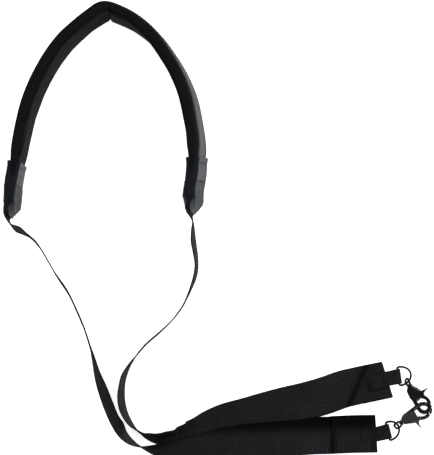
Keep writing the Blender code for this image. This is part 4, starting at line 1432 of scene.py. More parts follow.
    def press(self, pad: bpy.types.Object, outlines: list[list[tuple[float, float]]]) -> None:
        """Press in the crease and the corner seams, and mark them for painted shade.

        Args:
            pad: The swollen pad.
            outlines: Its sections as (across, height) pairs.
        """
        crest = self.arch.length * self.crease_share
        size = len(outlines[0])
        marks = [0.0] * (size * len(outlines))
        normals = [normal.vector.copy() for normal in pad.data.vertex_normals]
        for i, ring in enumerate(outlines):
            distance = self.distances[i]
            inner, outer, inset = self.arch.pad_faces(distance)
            turn = self.corner * 0.3
            for k, (across, height) in enumerate(ring):
                index = i * size + k
                inward = ease((outer - across) / (outer - inner) * 1.5 - 0.35)
                away = distance - crest + self.crease_slant * (1.0 - height / PAD_WIDTH)
                pinch = math.exp(-abs(away) / self.crease_width) * inward
                beside = across - inner - turn
                top = math.hypot(beside, height - (PAD_WIDTH - inset - turn))
                foot = math.hypot(beside, height - inset - turn)
                seam = max(bell(top, self.seam_width), bell(foot, self.seam_width))
                wrinkle = noise.noise(Vector((distance * 90.0, height * 60.0, across * 60.0)))
                press = self.crease_depth * pinch + self.seam_depth * seam
                press += self.wrinkle * wrinkle * inward
                vertex = pad.data.vertices[index]
                vertex.co = vertex.co - normals[index] * press
                vertex.co.z = max(vertex.co.z, self.press_play)
                # The fold and seam marks lay painted shade into the cover's colour.
                fold = bell(away, self.crease_width * 0.9) * inward
                marks[index] = min(1.0, fold + 0.5 * seam)
        pad.data.attributes.new("seam", "FLOAT", "POINT").data.foreach_set("value", marks)


@dataclass
class PadWebbing:
    """The webbing sewn along the pad's outer face."""

    arch: StrapArch
    finish: WovenFinish
    thread: Thread
    thread_material: bpy.types.Material
    seam_inset: float = 2.6 * MM
    ripple: float = 0.18 * MM
    station: float = 1.6 * MM
    stitch_station: float = 2.0 * MM
    parts: int = 20

    def build(self) -> list[bpy.types.Object]:
        """Build the webbing and its two rows of stitches.

        Returns:
            The band and its stitches.
        """
        low = (PAD_WIDTH - WEBBING_WIDTH) / 2
        start = ROOT_LENGTH + GAP
        distances = spaced(start, self.arch.length - start, self.station)
        heights = evenly(low, low + WEBBING_WIDTH, self.parts + 1)
        sections = []
        for distance in distances:
            offset = self.arch.webbing_offset(distance)
            row = []
            for height in heights:
                wave = noise.noise(Vector((distance * 45.0, height * 40.0, 3.0)))
                edge = 1.0 - abs(height - PAD_WIDTH / 2) / (WEBBING_WIDTH / 2)
                lift = abs(wave * self.ripple) * min(1.0, edge * 4.0)
                row.append(self.arch.point(distance, offset + lift, height))
            sections.append(row)
        band = woven_band("pad_webbing_band", sections, WEBBING_THICKNESS)
        band.data.materials.append(self.finish.material())
        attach(band, "base")
        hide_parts("pad_webbing")
        seams = []
        for height in (low + self.seam_inset, low + WEBBING_WIDTH - self.seam_inset):
            line = []
            for distance in spaced(start, self.arch.length - start, self.stitch_station):
                outward = left_of(self.arch.route.heading(distance))
                offset = self.arch.webbing_offset(distance) + WEBBING_THICKNESS / 2
                line.append((self.arch.point(distance, offset, height), outward))
            seams.append(line)
        stitches = self.thread.sew("pad_webbing_stitches", seams)
        stitches.data.materials.append(self.thread_material)
        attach(stitches, "base")
        return [band, stitches]


@dataclass
class EndTab:
    """A sewn tab that holds the pad's end and lets the webbing out at its tip."""

    arch: StrapArch
    name: str
    from_start: bool
    finish: HideFinish
    thread: Thread
    thread_material: bpy.types.Material
    tip_width: float = 48.0 * MM
    full_width: float = 54.0 * MM
    wall: float = 1.2 * MM
    tip_wall: float = 7.0 * MM
    taper: float = 16.0 * MM
    slant: float = 6.0 * MM
    short: float = 1.0 * MM
    fullness: float = 1.0 * MM
    fullness_inside: float = 0.8 * MM
    round_tip: float = 8.5 * MM
    solid_tip: float = 17.0 * MM
    ridge_pitch: float = 11.0 * MM
    mouth_seam: float = 4.6 * MM
    middle_seam: float = 23.0 * MM
    lip: float = 3.6 * MM
    corner: float = 1.9 * MM
    seam_press: float = 0.6 * MM
    ridge_rise: float = 0.9 * MM
    lip_rise: float = 0.45 * MM
    puff_rise: float = 0.2 * MM
    valley_painted_shade: float = 0.45
    station: float = 0.75 * MM
    inside_station: float = 3.0 * MM
    mouth_turns: tuple[float, ...] = (35.0, 70.0, 110.0, 145.0)
    parts: tuple[int, int, int] = (8, 44, 3)

    def place(self, distance: float) -> float:
        """Turn a distance from the tip into one along the arch."""
        return distance if self.from_start else self.arch.length - distance

    def outline(
        self, distance: float, wall: float, width: float, corner: float
    ) -> list[tuple[float, float]]:
        """Trace the tab round the pad and webbing.

        Args:
            distance: Distance from the tip.
            wall: How far it stands off them.
            width: Its width, which is its height here.
            corner: Radius of its corners.

        Returns:
            Points as (across, height).
        """
        place = self.place(distance)
        inner = self.arch.pad_faces(place)[0]
        outer = self.arch.webbing_offset(place) + WEBBING_THICKNESS / 2
        low = (PAD_WIDTH - width) / 2
        return rounded_ring(inner - wall, outer + wall, low, low + width, corner, self.parts)

    def skew(self, distance: float, height: float) -> float:
        """Give how far the slanted cut of the panels falls short."""
        share = min(max(height / PAD_WIDTH, 0.0), 1.0)
        return (self.slant * share + self.short) * ease(distance / self.arch.TAB_LENGTH * 1.4)

    def relief(self, distance: float, height: float) -> tuple[float, float]:
        """Shape the faces of the panels.

        Args:
            distance: Distance from the tip.
            height: Height on the face.

        Returns:
            The rise of the face, and its mark of painted shade in the seams and ridge valleys.
        """
        side = height - PAD_WIDTH / 2
        middle_seam = self.arch.TAB_LENGTH - self.middle_seam
        seam = max(
            bell(distance - (self.arch.TAB_LENGTH - self.mouth_seam), 0.8 * MM),
            bell(distance - middle_seam, 0.9 * MM),
            bell(distance - self.lip - 1.2 * MM, 0.9 * MM),
        )
        upper = ease((distance - middle_seam) / (2.0 * MM))
        ridged = (1.0 - upper) * ease((distance - self.lip - 2.0 * MM) / (3.0 * MM))
        ridges = 0.5 + 0.5 * math.cos(2.0 * math.pi * side / self.ridge_pitch)
        layer = 5.0 if self.from_start else 1.0
        puff = noise.noise(Vector((distance * 70.0, height * 70.0, layer)))
        rise = self.ridge_rise * ridges * ridged + self.puff_rise * puff
        rise += self.lip_rise * (1.0 - ease((distance - self.lip) / (0.8 * MM)))
        # Painted shade in the valleys between the ridges.
        valley = self.valley_painted_shade * ridged * (1.0 - ridges) ** 3
        return rise - self.seam_press * seam, max(seam, valley)

    def outer_ring(self, distance: float, wall: float) -> tuple[Section, list[float], list[float]]:
        """Lay out one ring of the outer skin.

        Args:
            distance: Distance from the tip.
            wall: How far it stands off the pad and webbing.

        Returns:
            The ring, and its points' marks of painted shade and gusset marks.
        """
        width = mix(self.tip_width, self.full_width, ease(distance / self.taper))
        ring = self.outline(distance, wall, width, self.corner)
        full = min(across for across, _ in ring)
        tip_inner = -(WEBBING_THICKNESS / 2 + GAP + self.wall * 1.8)
        pinch = mix(tip_inner / full, 1.0, ease(distance / self.tip_wall))
        points = []
        seams = []
        gussets = []
        far = max(across for across, _ in ring)
        level = ease(distance / (7.0 * MM)) * (1.0 - ease((distance - 12.0 * MM) / (22.0 * MM)))
        full_out = self.fullness * level
        full_in = min(self.fullness, self.fullness_inside) * level
        for across, height in ring:
            side = abs(height - PAD_WIDTH / 2)
            corner = min(1.0, max(0.0, side - 9.0 * MM) / (15.0 * MM))
            setback = self.round_tip * corner**2 * (1.0 - ease(distance / (20.0 * MM)))
            face = ease((width / 2 - side) / (1.6 * MM))
            rise, seam = self.relief(distance, height)
            ends = 1.0 - ease((side - width / 2 + 3.0 * MM) / (2.0 * MM))
            sign = 1.0 if across > (far + full) / 2 else -1.0
            shifted = (across * pinch if across < 0.0 else across) + sign * rise * face * ends
            shifted += full_out if sign > 0.0 else -full_in
            place = self.place(distance + setback - self.skew(distance, height))
            points.append(self.arch.point(place, shifted, height))
            seams.append(min(1.0, seam * face))
            gussets.append(1.0 - ease((width / 2 - side - 0.6 * MM) / (1.4 * MM)))
        return points, seams, gussets

    def hollow_ring(self, distance: float) -> Section:
        """Lay out one ring of the hollow that holds the pad.

        Args:
            distance: Distance from the tip.

        Returns:
            The ring.
        """
        width = mix(self.tip_width, self.full_width, ease(distance / self.taper)) - 2 * self.wall
        ring = self.outline(distance, GAP, width, 1.0 * MM)
        return self.slanted(distance, ring)

    def slanted(self, distance: float, ring: list[tuple[float, float]]) -> Section:
        """Place a ring of (across, height) pairs along the slanted cut."""
        return [
            self.arch.point(self.place(distance - self.skew(distance, height)), across, height)
            for across, height in ring
        ]

    def slot_ring(self, distance: float) -> Section:
        """Lay out one ring of the slot that the webbing leaves through.

        Args:
            distance: Distance from the tip.

        Returns:
            The ring.
        """
        half = WEBBING_THICKNESS / 2 + GAP
        low = (PAD_WIDTH - WEBBING_WIDTH) / 2 - GAP
        ring = rounded_ring(-half, half, low, low + WEBBING_WIDTH + 2 * GAP, 0.4 * MM, self.parts)
        return [self.arch.point(self.place(distance), a, h) for a, h in ring]

    def build(self) -> list[bpy.types.Object]:
        """Build the tab and its stitches.

        Returns:
            The tab and its stitches.
        """
        rings = []
        seams: list[float] = []
        gussets: list[float] = []
        along = []
        size = 0
        length = self.arch.TAB_LENGTH
        stand_off = GAP + self.wall
        for distance in spaced(0.0, length, self.station):
            ring, seam, gusset = self.outer_ring(distance, stand_off)
            rings.append(ring)
            seams += seam
            gussets += gusset
            along.append(distance)
            size = len(ring)
        for angle in self.mouth_turns:
            turn = math.radians(angle)
            bulge = self.wall * 0.6
            wall = GAP + self.wall * (0.5 + 0.5 * math.cos(turn))
            width = self.full_width - 2 * (self.wall + GAP - wall)
            ring = self.outline(length, wall, width, self.corner)
            rings.append(self.slanted(length + bulge * math.sin(turn), ring))
            along.append(along[-1] + self.wall * 0.4)
        for distance in spaced(length, self.solid_tip, self.inside_station):
            rings.append(self.hollow_ring(distance))
            along.append(along[-1] + self.inside_station)
        for distance in (self.solid_tip - 1.0 * MM, 6.0 * MM, 2.0 * MM, 0.4 * MM):
            rings.append(self.slot_ring(distance))
            along.append(along[-1] + 2.0 * MM)
        along.append(along[-1] + 4.0 * MM)
        around = lengths_round(self.outline(length, stand_off, self.full_width, self.corner))
        tab = skin("end_" + self.name, rings, along, around, closed=True)
        rest = size * len(rings) - len(seams)
        turns = len(self.mouth_turns)
        gussets += gussets[-size:] * turns
        gussets += [1.0] * (rest - turns * size)
        # The seam mark carries painted shade; the gusset mark picks the darker edge colour.
        for key, values in (("seam", seams + [0.0] * rest), ("gusset", gussets)):
            tab.data.attributes.new(key, "FLOAT", "POINT").data.foreach_set("value", values)
        tab.data.materials.append(self.finish.material())
        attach(tab, "base")
        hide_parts(self.name)
        stitches = self.thread.sew("end_" + self.name + "_stitches", self.seam_lines())
        stitches.data.materials.append(self.thread_material)
        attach(stitches, "base")
        return [tab, stitches]

    def seam_lines(self) -> list[list[tuple[Vector, Vector]]]:
        """Trace the two seams across both faces of the tab.

        Returns:
            Lines of surface points with their normals.
        """
        short, tall, turn = self.parts
        inner_first = turn + short + turn + 3
        outer_first = inner_first + tall + turn + short + turn
        lines = []
        for back in (self.mouth_seam, self.middle_seam):
            distance = self.arch.TAB_LENGTH - back
            ring, _, _ = self.outer_ring(distance, GAP + self.wall)
            outward = left_of(self.arch.route.heading(self.place(distance)))
            for start, normal in ((inner_first, -outward), (outer_first, outward)):
                run = [ring[(start + k) % len(ring)] for k in range(tall - 3)]
                lines.append([(point, normal) for point in run])
        return lines


class SewnEnd:
    """The place of one side's sewn end, loop, ring and hook."""

    HOOK_REACH = 28.3 * MM
    JAW_OFFSET = 3.5 * MM
    CLASP_REACH = 415.9 * MM
    CLASP_DROP = 199.2 * MM
    LOOP_REACH = 11.2 * MM
    RING_WIRE = 2.2 * MM
    RING_DEPTH = 13.0 * MM
    RING_CORNER = 1.6 * MM
    RING_PLAY = 0.9 * MM
    LOOP_PLAY = 0.5 * MM

    def __init__(self, side: SideRow) -> None:
        """Work out the layers and frames of one side.

        Args:
            side: How that side lies.
        """
        self.side = side
        band = WEBBING_THICKNESS + GAP
        leg = LOOP_THICKNESS + GAP
        seat = GAP * 2
        if side.outer_up:
            self.hem = WEBBING_THICKNESS / 2 + FLOOR_GAP
            self.strap = self.hem + band
            self.inner_leg = self.strap + WEBBING_THICKNESS / 2 + seat + LOOP_THICKNESS / 2
            self.outer_leg = self.inner_leg + leg
        else:
            self.outer_leg = LOOP_THICKNESS / 2 + FLOOR_GAP
            self.inner_leg = self.outer_leg + leg
            self.strap = self.inner_leg + LOOP_THICKNESS / 2 + seat + WEBBING_THICKNESS / 2
            self.hem = self.strap + band
        self.wrap = self.RING_WIRE / 2 + self.LOOP_PLAY + LOOP_THICKNESS / 2
        self.ring = self.ring_frame()
        self.way = compass(side.end_heading)
        bar = Vector((self.ring.translation.x, self.ring.translation.y, 0.0))
        self.middle = bar - compass(side.loop_heading) * self.LOOP_REACH

    def eye_place(self) -> Vector:
        """Work out where the hook's swivel eye is.

        Returns:
            Its middle.
        """
        side = self.side
        flat = compass(side.heading)
        rise = side.jaw_height - side.eye_height
        level_reach = math.sqrt(self.HOOK_REACH**2 - rise**2)
        along = (flat * level_reach + Vector((0.0, 0.0, rise))) / self.HOOK_REACH
        level = left_of(flat) * side.gate_side
        up = along.cross(level).normalized()
        tilt = math.radians(side.roll)
        gate = (level * math.cos(tilt) + up * math.sin(tilt)).normalized()
        clasp = Vector((StrapArch.LEFT + self.CLASP_REACH, StrapArch.FOOT - self.CLASP_DROP, 0.0))
        jaw = clasp + Vector((side.jaw_shift_x, side.jaw_shift_y, side.jaw_height))
        return jaw - along * self.HOOK_REACH - gate * self.JAW_OFFSET

    def ring_half(self) -> float:
        """Give half the width of the ring's centre line."""
        return LOOP_WIDTH / 2 + self.RING_PLAY / 2 + self.RING_CORNER

    def bow_point(self, angle: float) -> tuple[float, float]:
        """Give a point of the ring's bow.

        Args:
            angle: Its angle from the bow's top, in degrees.

        Returns:
            Its first two coordinates in the ring's frame.
        """
        turn = math.radians(angle)
        reach = self.RING_DEPTH - self.RING_CORNER
        return self.RING_CORNER + reach * math.cos(turn), self.ring_half() * math.sin(turn)

    def ring_frame(self) -> Matrix:
        """Work out how the ring lies.

        Returns:
            Its frame: the bar's middle, +X to the bow and +Y along the bar.
        """
        eye = self.eye_place()
        reach, aside = self.bow_point(self.side.ring_angle)
        toward = -1.0 if self.side.outer_up else 1.0
        bar_height = self.outer_leg + toward * self.wrap
        rise = eye.z - bar_height
        flat = compass(self.side.ring_turn)
        along = (flat * math.sqrt(reach**2 - rise**2) + Vector((0.0, 0.0, rise))).normalized()
        aside_axis = left_of(flat)
        up = along.cross(aside_axis)
        place = eye - along * reach - aside_axis * aside
        frame_columns = (along, aside_axis, up, place)
        rows = [tuple(column[i] for column in frame_columns) for i in range(3)]
        return Matrix((*rows, (0.0, 0.0, 0.0, 1.0)))


def painted_shade_mark(point: Vector) -> float:
    """Work out how strongly painted shade darkens the webbing.

    Args:
        point: A point of the webbing.

    Returns:
        A share from 0 to 1.
    """
    most = 0.0
    for line in PAINTED_SHADE_LINES:
        start = Vector(line.start)
        way = Vector(line.stop) - start
        share = (Vector(point[:2]) - start).dot(way) / way.length_squared
        if -0.1 < share < 1.1:
            away = (Vector(point[:2]) - start - way * share).length
            most = max(most, line.strength * bell(away, line.width))
    return most


@dataclass
class FlatStrap:
    """One webbing end: its root under the tab, its way over the floor, its hem."""

    arch: StrapArch
    end: SewnEnd
    rows: Sequence[RouteRow]
    finish: WovenFinish
    thread: Thread
    thread_material: bpy.types.Material
    parts: int = 22
    station: float = 1.3 * MM
    end_turn: float = 40.0 * MM
    hem_seam_inset: float = 2.6 * MM
    # The span along y where the standing, turned part gets painted shade.
    turned_from: tuple[float, float] = (-75.0 * MM, 30.0 * MM)
    turned_to: tuple[float, float] = (-192.0 * MM, 14.0 * MM)

    def shade(self, point: Vector) -> float:
        """Work out the painted shade laid on the part that stands and turns over.

        Args:
            point: A point of the webbing.

        Returns:
            A share from 0 to 1.
        """
        begin, begin_fade = self.turned_from
        end, end_fade = self.turned_to
        turned = ease((begin - point.y) / begin_fade) * (1.0 - ease((end - point.y) / end_fade))
        return self.end.side.turned_painted_shade * turned

    def cross_profile(self, foot: float, top: float, bend: float, left: Vector) -> Section:
        """Give offsets of the webbing's cross-section from its lower edge.

        Args:
            foot: Tilt of the lower side from upright, in degrees.
            top: Tilt of the upper side.
            bend: Share of the width at which it bends.
            left: The horizontal direction that it tilts toward.

        Returns:
            One offset for each point across.
        """
        points = [Vector((0.0, 0.0, 0.0))]
        step = WEBBING_WIDTH / self.parts
        for i in range(self.parts):
            share = ease(((i + 0.5) / self.parts - bend) / bend + 0.5)
            angle = math.radians(mix(foot, top, share))
            rise = Vector((0.0, 0.0, step * math.cos(angle)))
            points.append(points[-1] + left * (step * math.sin(angle)) + rise)
        return points

    def sections(self) -> list[Section]:
        """Lay out the strap from its root to its hem's raw edge.

        Returns:
            Rows of points across it.
        """
        side = self.end.side
        from_start = side.name == "left"
        tip = Vector(self.arch.route.at(0.0 if from_start else self.arch.length)[:2])
        leave = (PAD_WIDTH - WEBBING_WIDTH) / 2
        left = left_of(self.end.way)
        edge = self.end.middle - left * (side.tilt_side * WEBBING_WIDTH / 2)
        fold = abs(self.end.strap - self.end.hem) / 2
        stop = edge - self.end.way * (fold + WEBBING_THICKNESS / 2)
        table = []
        for share in evenly(ROOT_LENGTH, 0.0, 8) + [-2.0 * MM]:
            place = share if from_start else self.arch.length - share
            low = self.arch.point(place, self.arch.webbing_offset(place), leave)
            lean = math.degrees(self.arch.route.at(place)[2]) * (1.0 if from_start else -1.0)
            table.append((low.x, low.y, leave, lean, lean, 0.5))
        for row in self.rows:
            x = tip.x + row.along * (stop.x - tip.x)
            y = tip.y + row.down * (stop.y - tip.y)
            lift = row.drop * leave + row.layers * (WEBBING_THICKNESS + GAP)
            lift += row.seat * (self.end.strap - WEBBING_THICKNESS / 2 - FLOOR_GAP)
            table.append((x, y, lift, row.foot, row.top, row.bend))
        route = Route(table)
        found = []
        for distance in spaced(0.0, route.length, self.station):
            x, y, lift, foot, top, bend = route.at(distance)
            base = FLOOR_GAP + WEBBING_THICKNESS / 2 * abs(math.sin(math.radians(foot)))
            turn = ease((distance - route.length) / self.end_turn + 1.0)
            aside = (left_of(route.heading(distance)) * (1.0 - turn) + left * turn).normalized()
            start = Vector((x, y, lift + base))
            found.append([start + offset for offset in self.cross_profile(foot, top, bend, aside)])
        return found + self.hem_sections(stop, found)

    def hem_sections(self, stop: Vector, strap: list[Section]) -> list[Section]:
        """Lay out the folded end, round its fold and back along the strap.

        Args:
            stop: Where the strap's lower edge meets the fold.
            strap: The sections up to the fold.

        Returns:
            The sections from the fold to the raw edge.
        """
        side = self.end.side
        turn = (self.end.hem - self.end.strap) / 2
        across = [
            left_of(self.end.way) * (side.tilt_side * WEBBING_WIDTH * k / self.parts)
            for k in range(self.parts + 1)
        ]
        found = []
        for angle in evenly(12.0, 180.0, 15):
            base = stop + self.end.way * (abs(turn) * math.sin(math.radians(angle)))
            base.z = self.end.strap + turn * (1.0 - math.cos(math.radians(angle)))
            found.append([base + offset for offset in across])
        over = Vector((0.0, 0.0, self.end.hem - self.end.strap))
        steps = round(side.hem / self.station)
        found += [[point + over for point in strap[-1 - i]] for i in range(1, steps)]
        for row in found:
            for point in row:
                point.z = max(point.z, WEBBING_THICKNESS / 2 + FLOOR_GAP)
        return found

    def seam_lines(self) -> list[list[tuple[Vector, Vector]]]:
        """Trace the rows sewn through the hem, on its upper side.

        Returns:
            Lines of surface points with their normals.
        """
        side = self.end.side
        top = max(self.end.strap, self.end.hem) + WEBBING_THICKNESS / 2
        up = Vector((0.0, 0.0, 1.0))
        aside = left_of(self.end.way)
        half = WEBBING_WIDTH / 2 - self.hem_seam_inset
        lines = []
        backs = (3.4 * MM, side.hem - 3.0 * MM, side.hem - 6.0 * MM)
        for back in backs:
            start = self.end.middle - self.end.way * (back + 2.0 * MM)
            ends = [start + aside * (half * s) + up * top for s in (-1.0, 1.0)]
            lines.append([(ends[0], up), (ends[1], up)])
        for s in (-1.0, 1.0):
            ends = [
                self.end.middle - self.end.way * (back + 2.0 * MM) + aside * (half * s) + up * top
                for back in (backs[0], backs[1])
            ]
            lines.append([(ends[0], up), (ends[1], up)])
        return lines

    def build(self) -> list[bpy.types.Object]:
        """Build the strap and the stitches of its hem.

        Returns:
            The strap and its stitches.
        """
        name = self.end.side.name
        band = woven_band("webbing_strap_" + name, self.sections(), WEBBING_THICKNESS)
        points = [vertex.co for vertex in band.data.vertices]
        # The press mark carries painted shade, from the shade lines and from the turned part.
        painted_shades = [max(painted_shade_mark(point), self.shade(point)) for point in points]
        band.data.attributes.new("press", "FLOAT", "POINT").data.foreach_set("value", painted_shades)
        band.data.materials.append(self.finish.material())
        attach(band, "base")
        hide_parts("strap_" + name)
        stitches = self.thread.sew("hem_stitches_" + name, self.seam_lines())
        stitches.data.materials.append(self.thread_material)
        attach(stitches, "base")
        return [band, stitches]


@dataclass
class RingLoop:
    """The narrow webbing loop that holds a ring, with its bar tacks."""

    end: SewnEnd
    finish: WovenFinish
    thread: Thread
    thread_material: bpy.types.Material
    tacks: tuple[float, float] = (3.0 * MM, 15.0 * MM)
    tack_depth: float = 0.9 * MM
    tack_share: float = 0.42
    tack_turns: int = 15
    parts: int = 10

    def rows(self) -> list[tuple[float, float]]:
        """List the loop's way, from its outer leg round the ring.

        Returns:
            Pairs of the distance past the strap's end, and the height.
        """
        centre = self.end.ring.translation
        toward = 1.0 if self.end.side.outer_up else -1.0
        onward = Vector((centre.x, centre.y, 0.0)) - self.end.middle
        reach = onward.length
        found = [(back, self.end.outer_leg) for back in evenly(-LOOP_SEWN, 0.0, 14)]
        for angle in evenly(90.0, -90.0, 17):
            turn = math.radians(angle)
            height = centre.z + toward * self.end.wrap * math.sin(turn)
            found.append((reach + self.end.wrap * math.cos(turn), height))
        low = centre.z - toward * self.end.wrap
        found.append((reach * 0.45, mix(self.end.inner_leg, low, 0.35)))
        return found + [(back, self.end.inner_leg) for back in evenly(0.0, -LOOP_SEWN, 14)]

    def build(self) -> list[bpy.types.Object]:
        """Build the loop and its bar tacks.

        Returns:
            The loop and its stitches.
        """
        ring = self.end.ring
        onward = Vector((ring.translation.x, ring.translation.y, 0.0)) - self.end.middle
        reach = onward.length
        bar_axis = Vector((ring.col[1][0], ring.col[1][1], 0.0)).normalized()
        strap_axis = left_of(self.end.way)
        sections = []
        for back, height in self.rows():
            share = min(max(back / reach, 0.0), 1.0)
            axis = (strap_axis * (1.0 - share) + bar_axis * share).normalized()
            way = onward / reach if back > 0.0 else self.end.way
            base = self.end.middle + way * back
            base.z = height
            sections.append([
                base + axis * (LOOP_WIDTH * (k / self.parts - 0.5)) for k in range(self.parts + 1)
            ])
        name = self.end.side.name
        loop = woven_band("webbing_loop_" + name, sections, LOOP_THICKNESS)
        loop.data.materials.append(self.finish.material())
        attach(loop, "base")
        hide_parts("ring_loop_" + name)
        stitches = self.thread.sew("loop_stitches_" + name, self.tack_lines())
        stitches.data.materials.append(self.thread_material)
        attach(stitches, "base")
        return [loop, stitches]

    def tack_lines(self) -> list[list[tuple[Vector, Vector]]]:
        """Trace the zigzag bar tacks on the upper side of the sewn legs.

        Returns:
            Lines of surface points with their normals.
        """
        up = Vector((0.0, 0.0, 1.0))
        if self.end.side.outer_up:
            top = self.end.outer_leg + LOOP_THICKNESS / 2
        else:
            top = self.end.hem + WEBBING_THICKNESS / 2
        aside = left_of(self.end.way)
        lines = []
        for back in self.tacks:
            line = []
            for k in range(self.tack_turns):
                across = LOOP_WIDTH * self.tack_share * (2.0 * k / (self.tack_turns - 1) - 1.0)
                depth = back + (self.tack_depth if k % 2 else -self.tack_depth)
                spot = self.end.middle - self.end.way * depth + aside * across
                line.append((spot + up * top, up))
            lines.append(line)
        return lines


@dataclass
class WeldedRing:
    """A D-ring of round wire, with the small swelling of its weld."""

    end: SewnEnd
    material: bpy.types.Material
    weld_swell: float = 0.1
    weld_width: float = 0.9 * MM

    def build(self) -> bpy.types.Object:
        """Build the ring.

        Returns:
            The finished ring.
        """
        half = self.end.ring_half()
        corner = self.end.RING_CORNER
        pairs = [(0.0, y) for y in evenly(-(half - corner), half - corner, 17)]
        pairs += self.corner_points(half - corner, evenly(165.0, 90.0, 6))
        pairs += [self.end.bow_point(angle) for angle in evenly(84.0, -84.0, 29)]
        pairs += self.corner_points(-(half - corner), evenly(-90.0, -165.0, 6))
        points = [self.end.ring @ Vector((x, y, 0.0)) for x, y in pairs]
        up = Vector(self.end.ring.col[2][:3])
        name = self.end.side.name
        ring = wire_loop("wire_ring_" + name, points, up, self.end.RING_WIRE / 2)
        weld = self.end.ring @ Vector((0.0, half * 0.55, 0.0))
        for vertex in ring.data.vertices:
            away = (vertex.co - weld).length
            spoke = vertex.co - min(points, key=lambda point: (point - vertex.co).length_squared)
            swell = self.weld_swell * bell(away - self.end.RING_WIRE / 2, self.weld_width)
            vertex.co = vertex.co + spoke * swell
        ring.data.materials.append(self.material)
        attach(ring, "base")
        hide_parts("d_ring_" + name)
        return ring

    def corner_points(self, middle: float, angles: Iterable[float]) -> list[tuple[float, float]]:
        """Trace a corner between the bar and the bow.

        Args:
            middle: Where the corner's middle lies along the bar.
            angles: The points' angles, in degrees.

        Returns:
            Points in the ring's frame.
        """
        corner = self.end.RING_CORNER
        turns = [math.radians(angle) for angle in angles]
        return [(corner + corner * math.cos(a), middle + corner * math.sin(a)) for a in turns]


class CastPart(NamedTuple):
    """A cast piece of the hook: its solid, its body and how finely it is cast."""

    node: str
    body: str
    voxel: float
    passes: int


@dataclass
class SwivelHook:
    """One swivel trigger hook, with the rounded edges of a casting."""

    side: str
    material: bpy.types.Material

    def parts(self) -> tuple[CastPart, ...]:
        """List the pieces of this hook.

        Returns:
            The pieces.
        """
        body = "hook_" + self.side
        return (
            CastPart("swivel_eye_" + self.side, "base", 0.2 * MM, 4),
            CastPart("hook_body_" + self.side, body, 0.22 * MM, 10),
            CastPart("gate_rivet_" + self.side, body, 0.14 * MM, 3),
            CastPart("hook_gate_" + self.side, "gate_" + self.side, 0.2 * MM, 4),
        )

    def build(self) -> list[bpy.types.Object]:
        """Round off each piece of the hook.

        Returns:
            The finished pieces.
        """
        return [self.cast(part) for part in self.parts()]

    def cast(self, part: CastPart) -> bpy.types.Object:
        """Copy a solid and soften its edges.

        Args:
            part: The piece.

        Returns:
            The finished piece.
        """
        piece = link_mesh("cast_" + part.node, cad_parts[part.node].data.copy())
        remesh = piece.modifiers.new("skin", "REMESH")
        remesh.mode = "VOXEL"
        remesh.voxel_size = part.voxel
        remesh.use_smooth_shade = True
        smooth = piece.modifiers.new("soften", "SMOOTH")
        smooth.factor = 0.5
        smooth.iterations = part.passes
        shaped = piece.evaluated_get(bpy.context.evaluated_depsgraph_get())
        piece.modifiers.clear()
        piece.data = bpy.data.meshes.new_from_object(shaped)
        piece.data.shade_smooth()
        piece.data.materials.clear()
        piece.data.materials.append(self.material)
        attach(piece, part.body)
        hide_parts(part.node)
        return piece


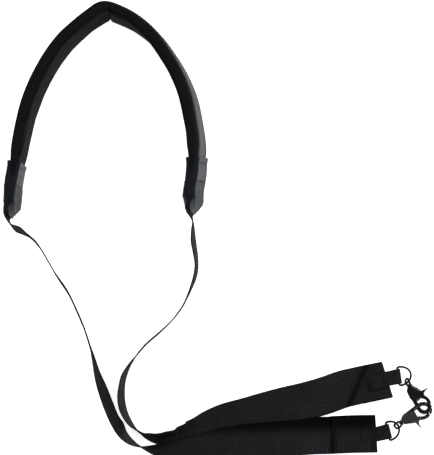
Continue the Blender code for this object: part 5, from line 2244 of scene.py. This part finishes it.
@dataclass
class Studio:
    """The pale floor, the soft lights and the camera."""

    right: Vector = Vector((0.99032, 0.0, -0.13879))
    up: Vector = Vector((0.02265, 0.98659, 0.16161))
    back: Vector = Vector((0.13693, -0.16319, 0.97704))
    distance: float = 14.0
    view_height: float = 0.455
    aim: tuple[float, float] = (-3.42 * MM, 9.10 * MM)
    sky: float = 0.72

    def build(self) -> None:
        """Build the floor, the lights and the camera."""
        self.floor()
        self.world()
        self.light("key_light", (-0.5, 0.8, 2.0), 0.3, 9.0)
        self.light("side_light", (1.7, 0.1, 1.0), 0.9, 24.0)
        self.light("spark_light", (0.9, -0.9, 1.6), 0.12, 4.0)
        self.camera()
        bpy.context.scene.view_settings.view_transform = "Standard"

    def floor(self) -> None:
        """Lay the floor."""
        shell = bmesh.new()
        bmesh.ops.create_grid(shell, x_segments=8, y_segments=8, size=6.0)
        mesh = bpy.data.meshes.new("pale_floor")
        shell.to_mesh(mesh)
        shell.free()
        floor = link_mesh("pale_floor", mesh)
        floor.data.materials.append(FloorFinish().material())

    def world(self) -> None:
        """Light the scene from a plain pale sky."""
        sky = bpy.data.worlds.new("pale_sky")
        sky.use_nodes = True
        shade = sky.node_tree.nodes["Background"]
        shade.inputs["Color"].default_value = (1.0, 1.0, 1.0, 1.0)
        shade.inputs["Strength"].default_value = self.sky
        bpy.context.scene.world = sky

    def light(
        self, name: str, place: tuple[float, float, float], size: float, power: float
    ) -> None:
        """Hang one soft light that points at the strap.

        Args:
            name: The light's name.
            place: Where it hangs.
            size: Its width.
            power: Its power in watts.
        """
        lamp = bpy.data.lights.new(name, "AREA")
        lamp.size = size
        lamp.energy = power
        holder = bpy.data.objects.new(name, lamp)
        holder.location = place
        holder.rotation_euler = (-Vector(place)).to_track_quat("-Z", "Y").to_euler()
        bpy.context.scene.collection.objects.link(holder)

    def camera(self) -> None:
        """Set up the camera at the photograph's angle."""
        lens = bpy.data.cameras.new("photo_camera")
        lens.sensor_width = 36.0
        lens.lens = lens.sensor_width * self.distance / self.view_height
        lens.clip_start = 0.1
        lens.clip_end = 60.0
        target = self.right * self.aim[0] + self.up * self.aim[1]
        place = target + self.back * self.distance
        axes = (self.right, self.up, self.back, place)
        rows = [tuple(axis[i] for axis in axes) for i in range(3)]
        holder = bpy.data.objects.new("photo_camera", lens)
        holder.matrix_world = Matrix((*rows, (0.0, 0.0, 0.0, 1.0)))
        bpy.context.scene.collection.objects.link(holder)
        bpy.context.scene.camera = holder


def report(pieces: Iterable[bpy.types.Object]) -> None:
    """Log each finished piece with its count of faces.

    Args:
        pieces: The finished pieces.
    """
    for piece in pieces:
        LOG.info("%s: %d faces", piece.name, len(piece.data.polygons))


def main() -> None:
    """Build the dressed strap in its studio."""
    logging.basicConfig(level=logging.INFO, format="%(message)s")
    thread_material = ThreadFinish().material()
    metal = BlackMetalFinish().material()
    webbing = WovenFinish("strap_webbing", (0.0230, 0.0250, 0.0270), (0.06, 0.062, 0.065))
    # A lighter copy of the strap webbing: its grey is painted sheen, the reflection that the
    # upright outer face shows at a grazing view.
    pad_webbing = WovenFinish(
        "pad_webbing_cloth", (0.105, 0.109, 0.115), (0.18, 0.182, 0.186),
        specular=0.06, sheen=0.02, groove_shade_tone=0.06)
    cover = CoverFinish("pad_cover", (0.0060, 0.0066, 0.0072), (0.03, 0.032, 0.035))
    # The hide's faces get a lighter colour as painted sheen; its gusset edges keep a darker one.
    hide = HideFinish("tab_hide", (0.040, 0.044, 0.049), (0.0050, 0.0062, 0.0082))
    arch = StrapArch()
    thread = Thread()
    report([FoamPad(arch, cover).build()])
    report(PadWebbing(arch, pad_webbing, thread, thread_material).build())
    left_tab = EndTab(
        arch, "tab_left", True, hide, thread, thread_material, slant=3.0 * MM, short=5.0 * MM)
    right_tab = EndTab(
        arch, "tab_right", False, hide, thread, thread_material, slant=8.0 * MM, fullness=3.2 * MM)
    report(left_tab.build())
    report(right_tab.build())
    tack = Thread(length=1.9 * MM, pitch=2.0 * MM, radius=0.22 * MM)
    for side, rows in ((SIDES[0], RIGHT_ROWS), (SIDES[1], LEFT_ROWS)):
        end = SewnEnd(side)
        report(FlatStrap(arch, end, rows, webbing, thread, thread_material).build())
        report(RingLoop(end, webbing, tack, thread_material).build())
        report([WeldedRing(end, metal).build()])
        report(SwivelHook(side.name, metal).build())
    Studio().build()


if __name__ == "__main__":
    main()
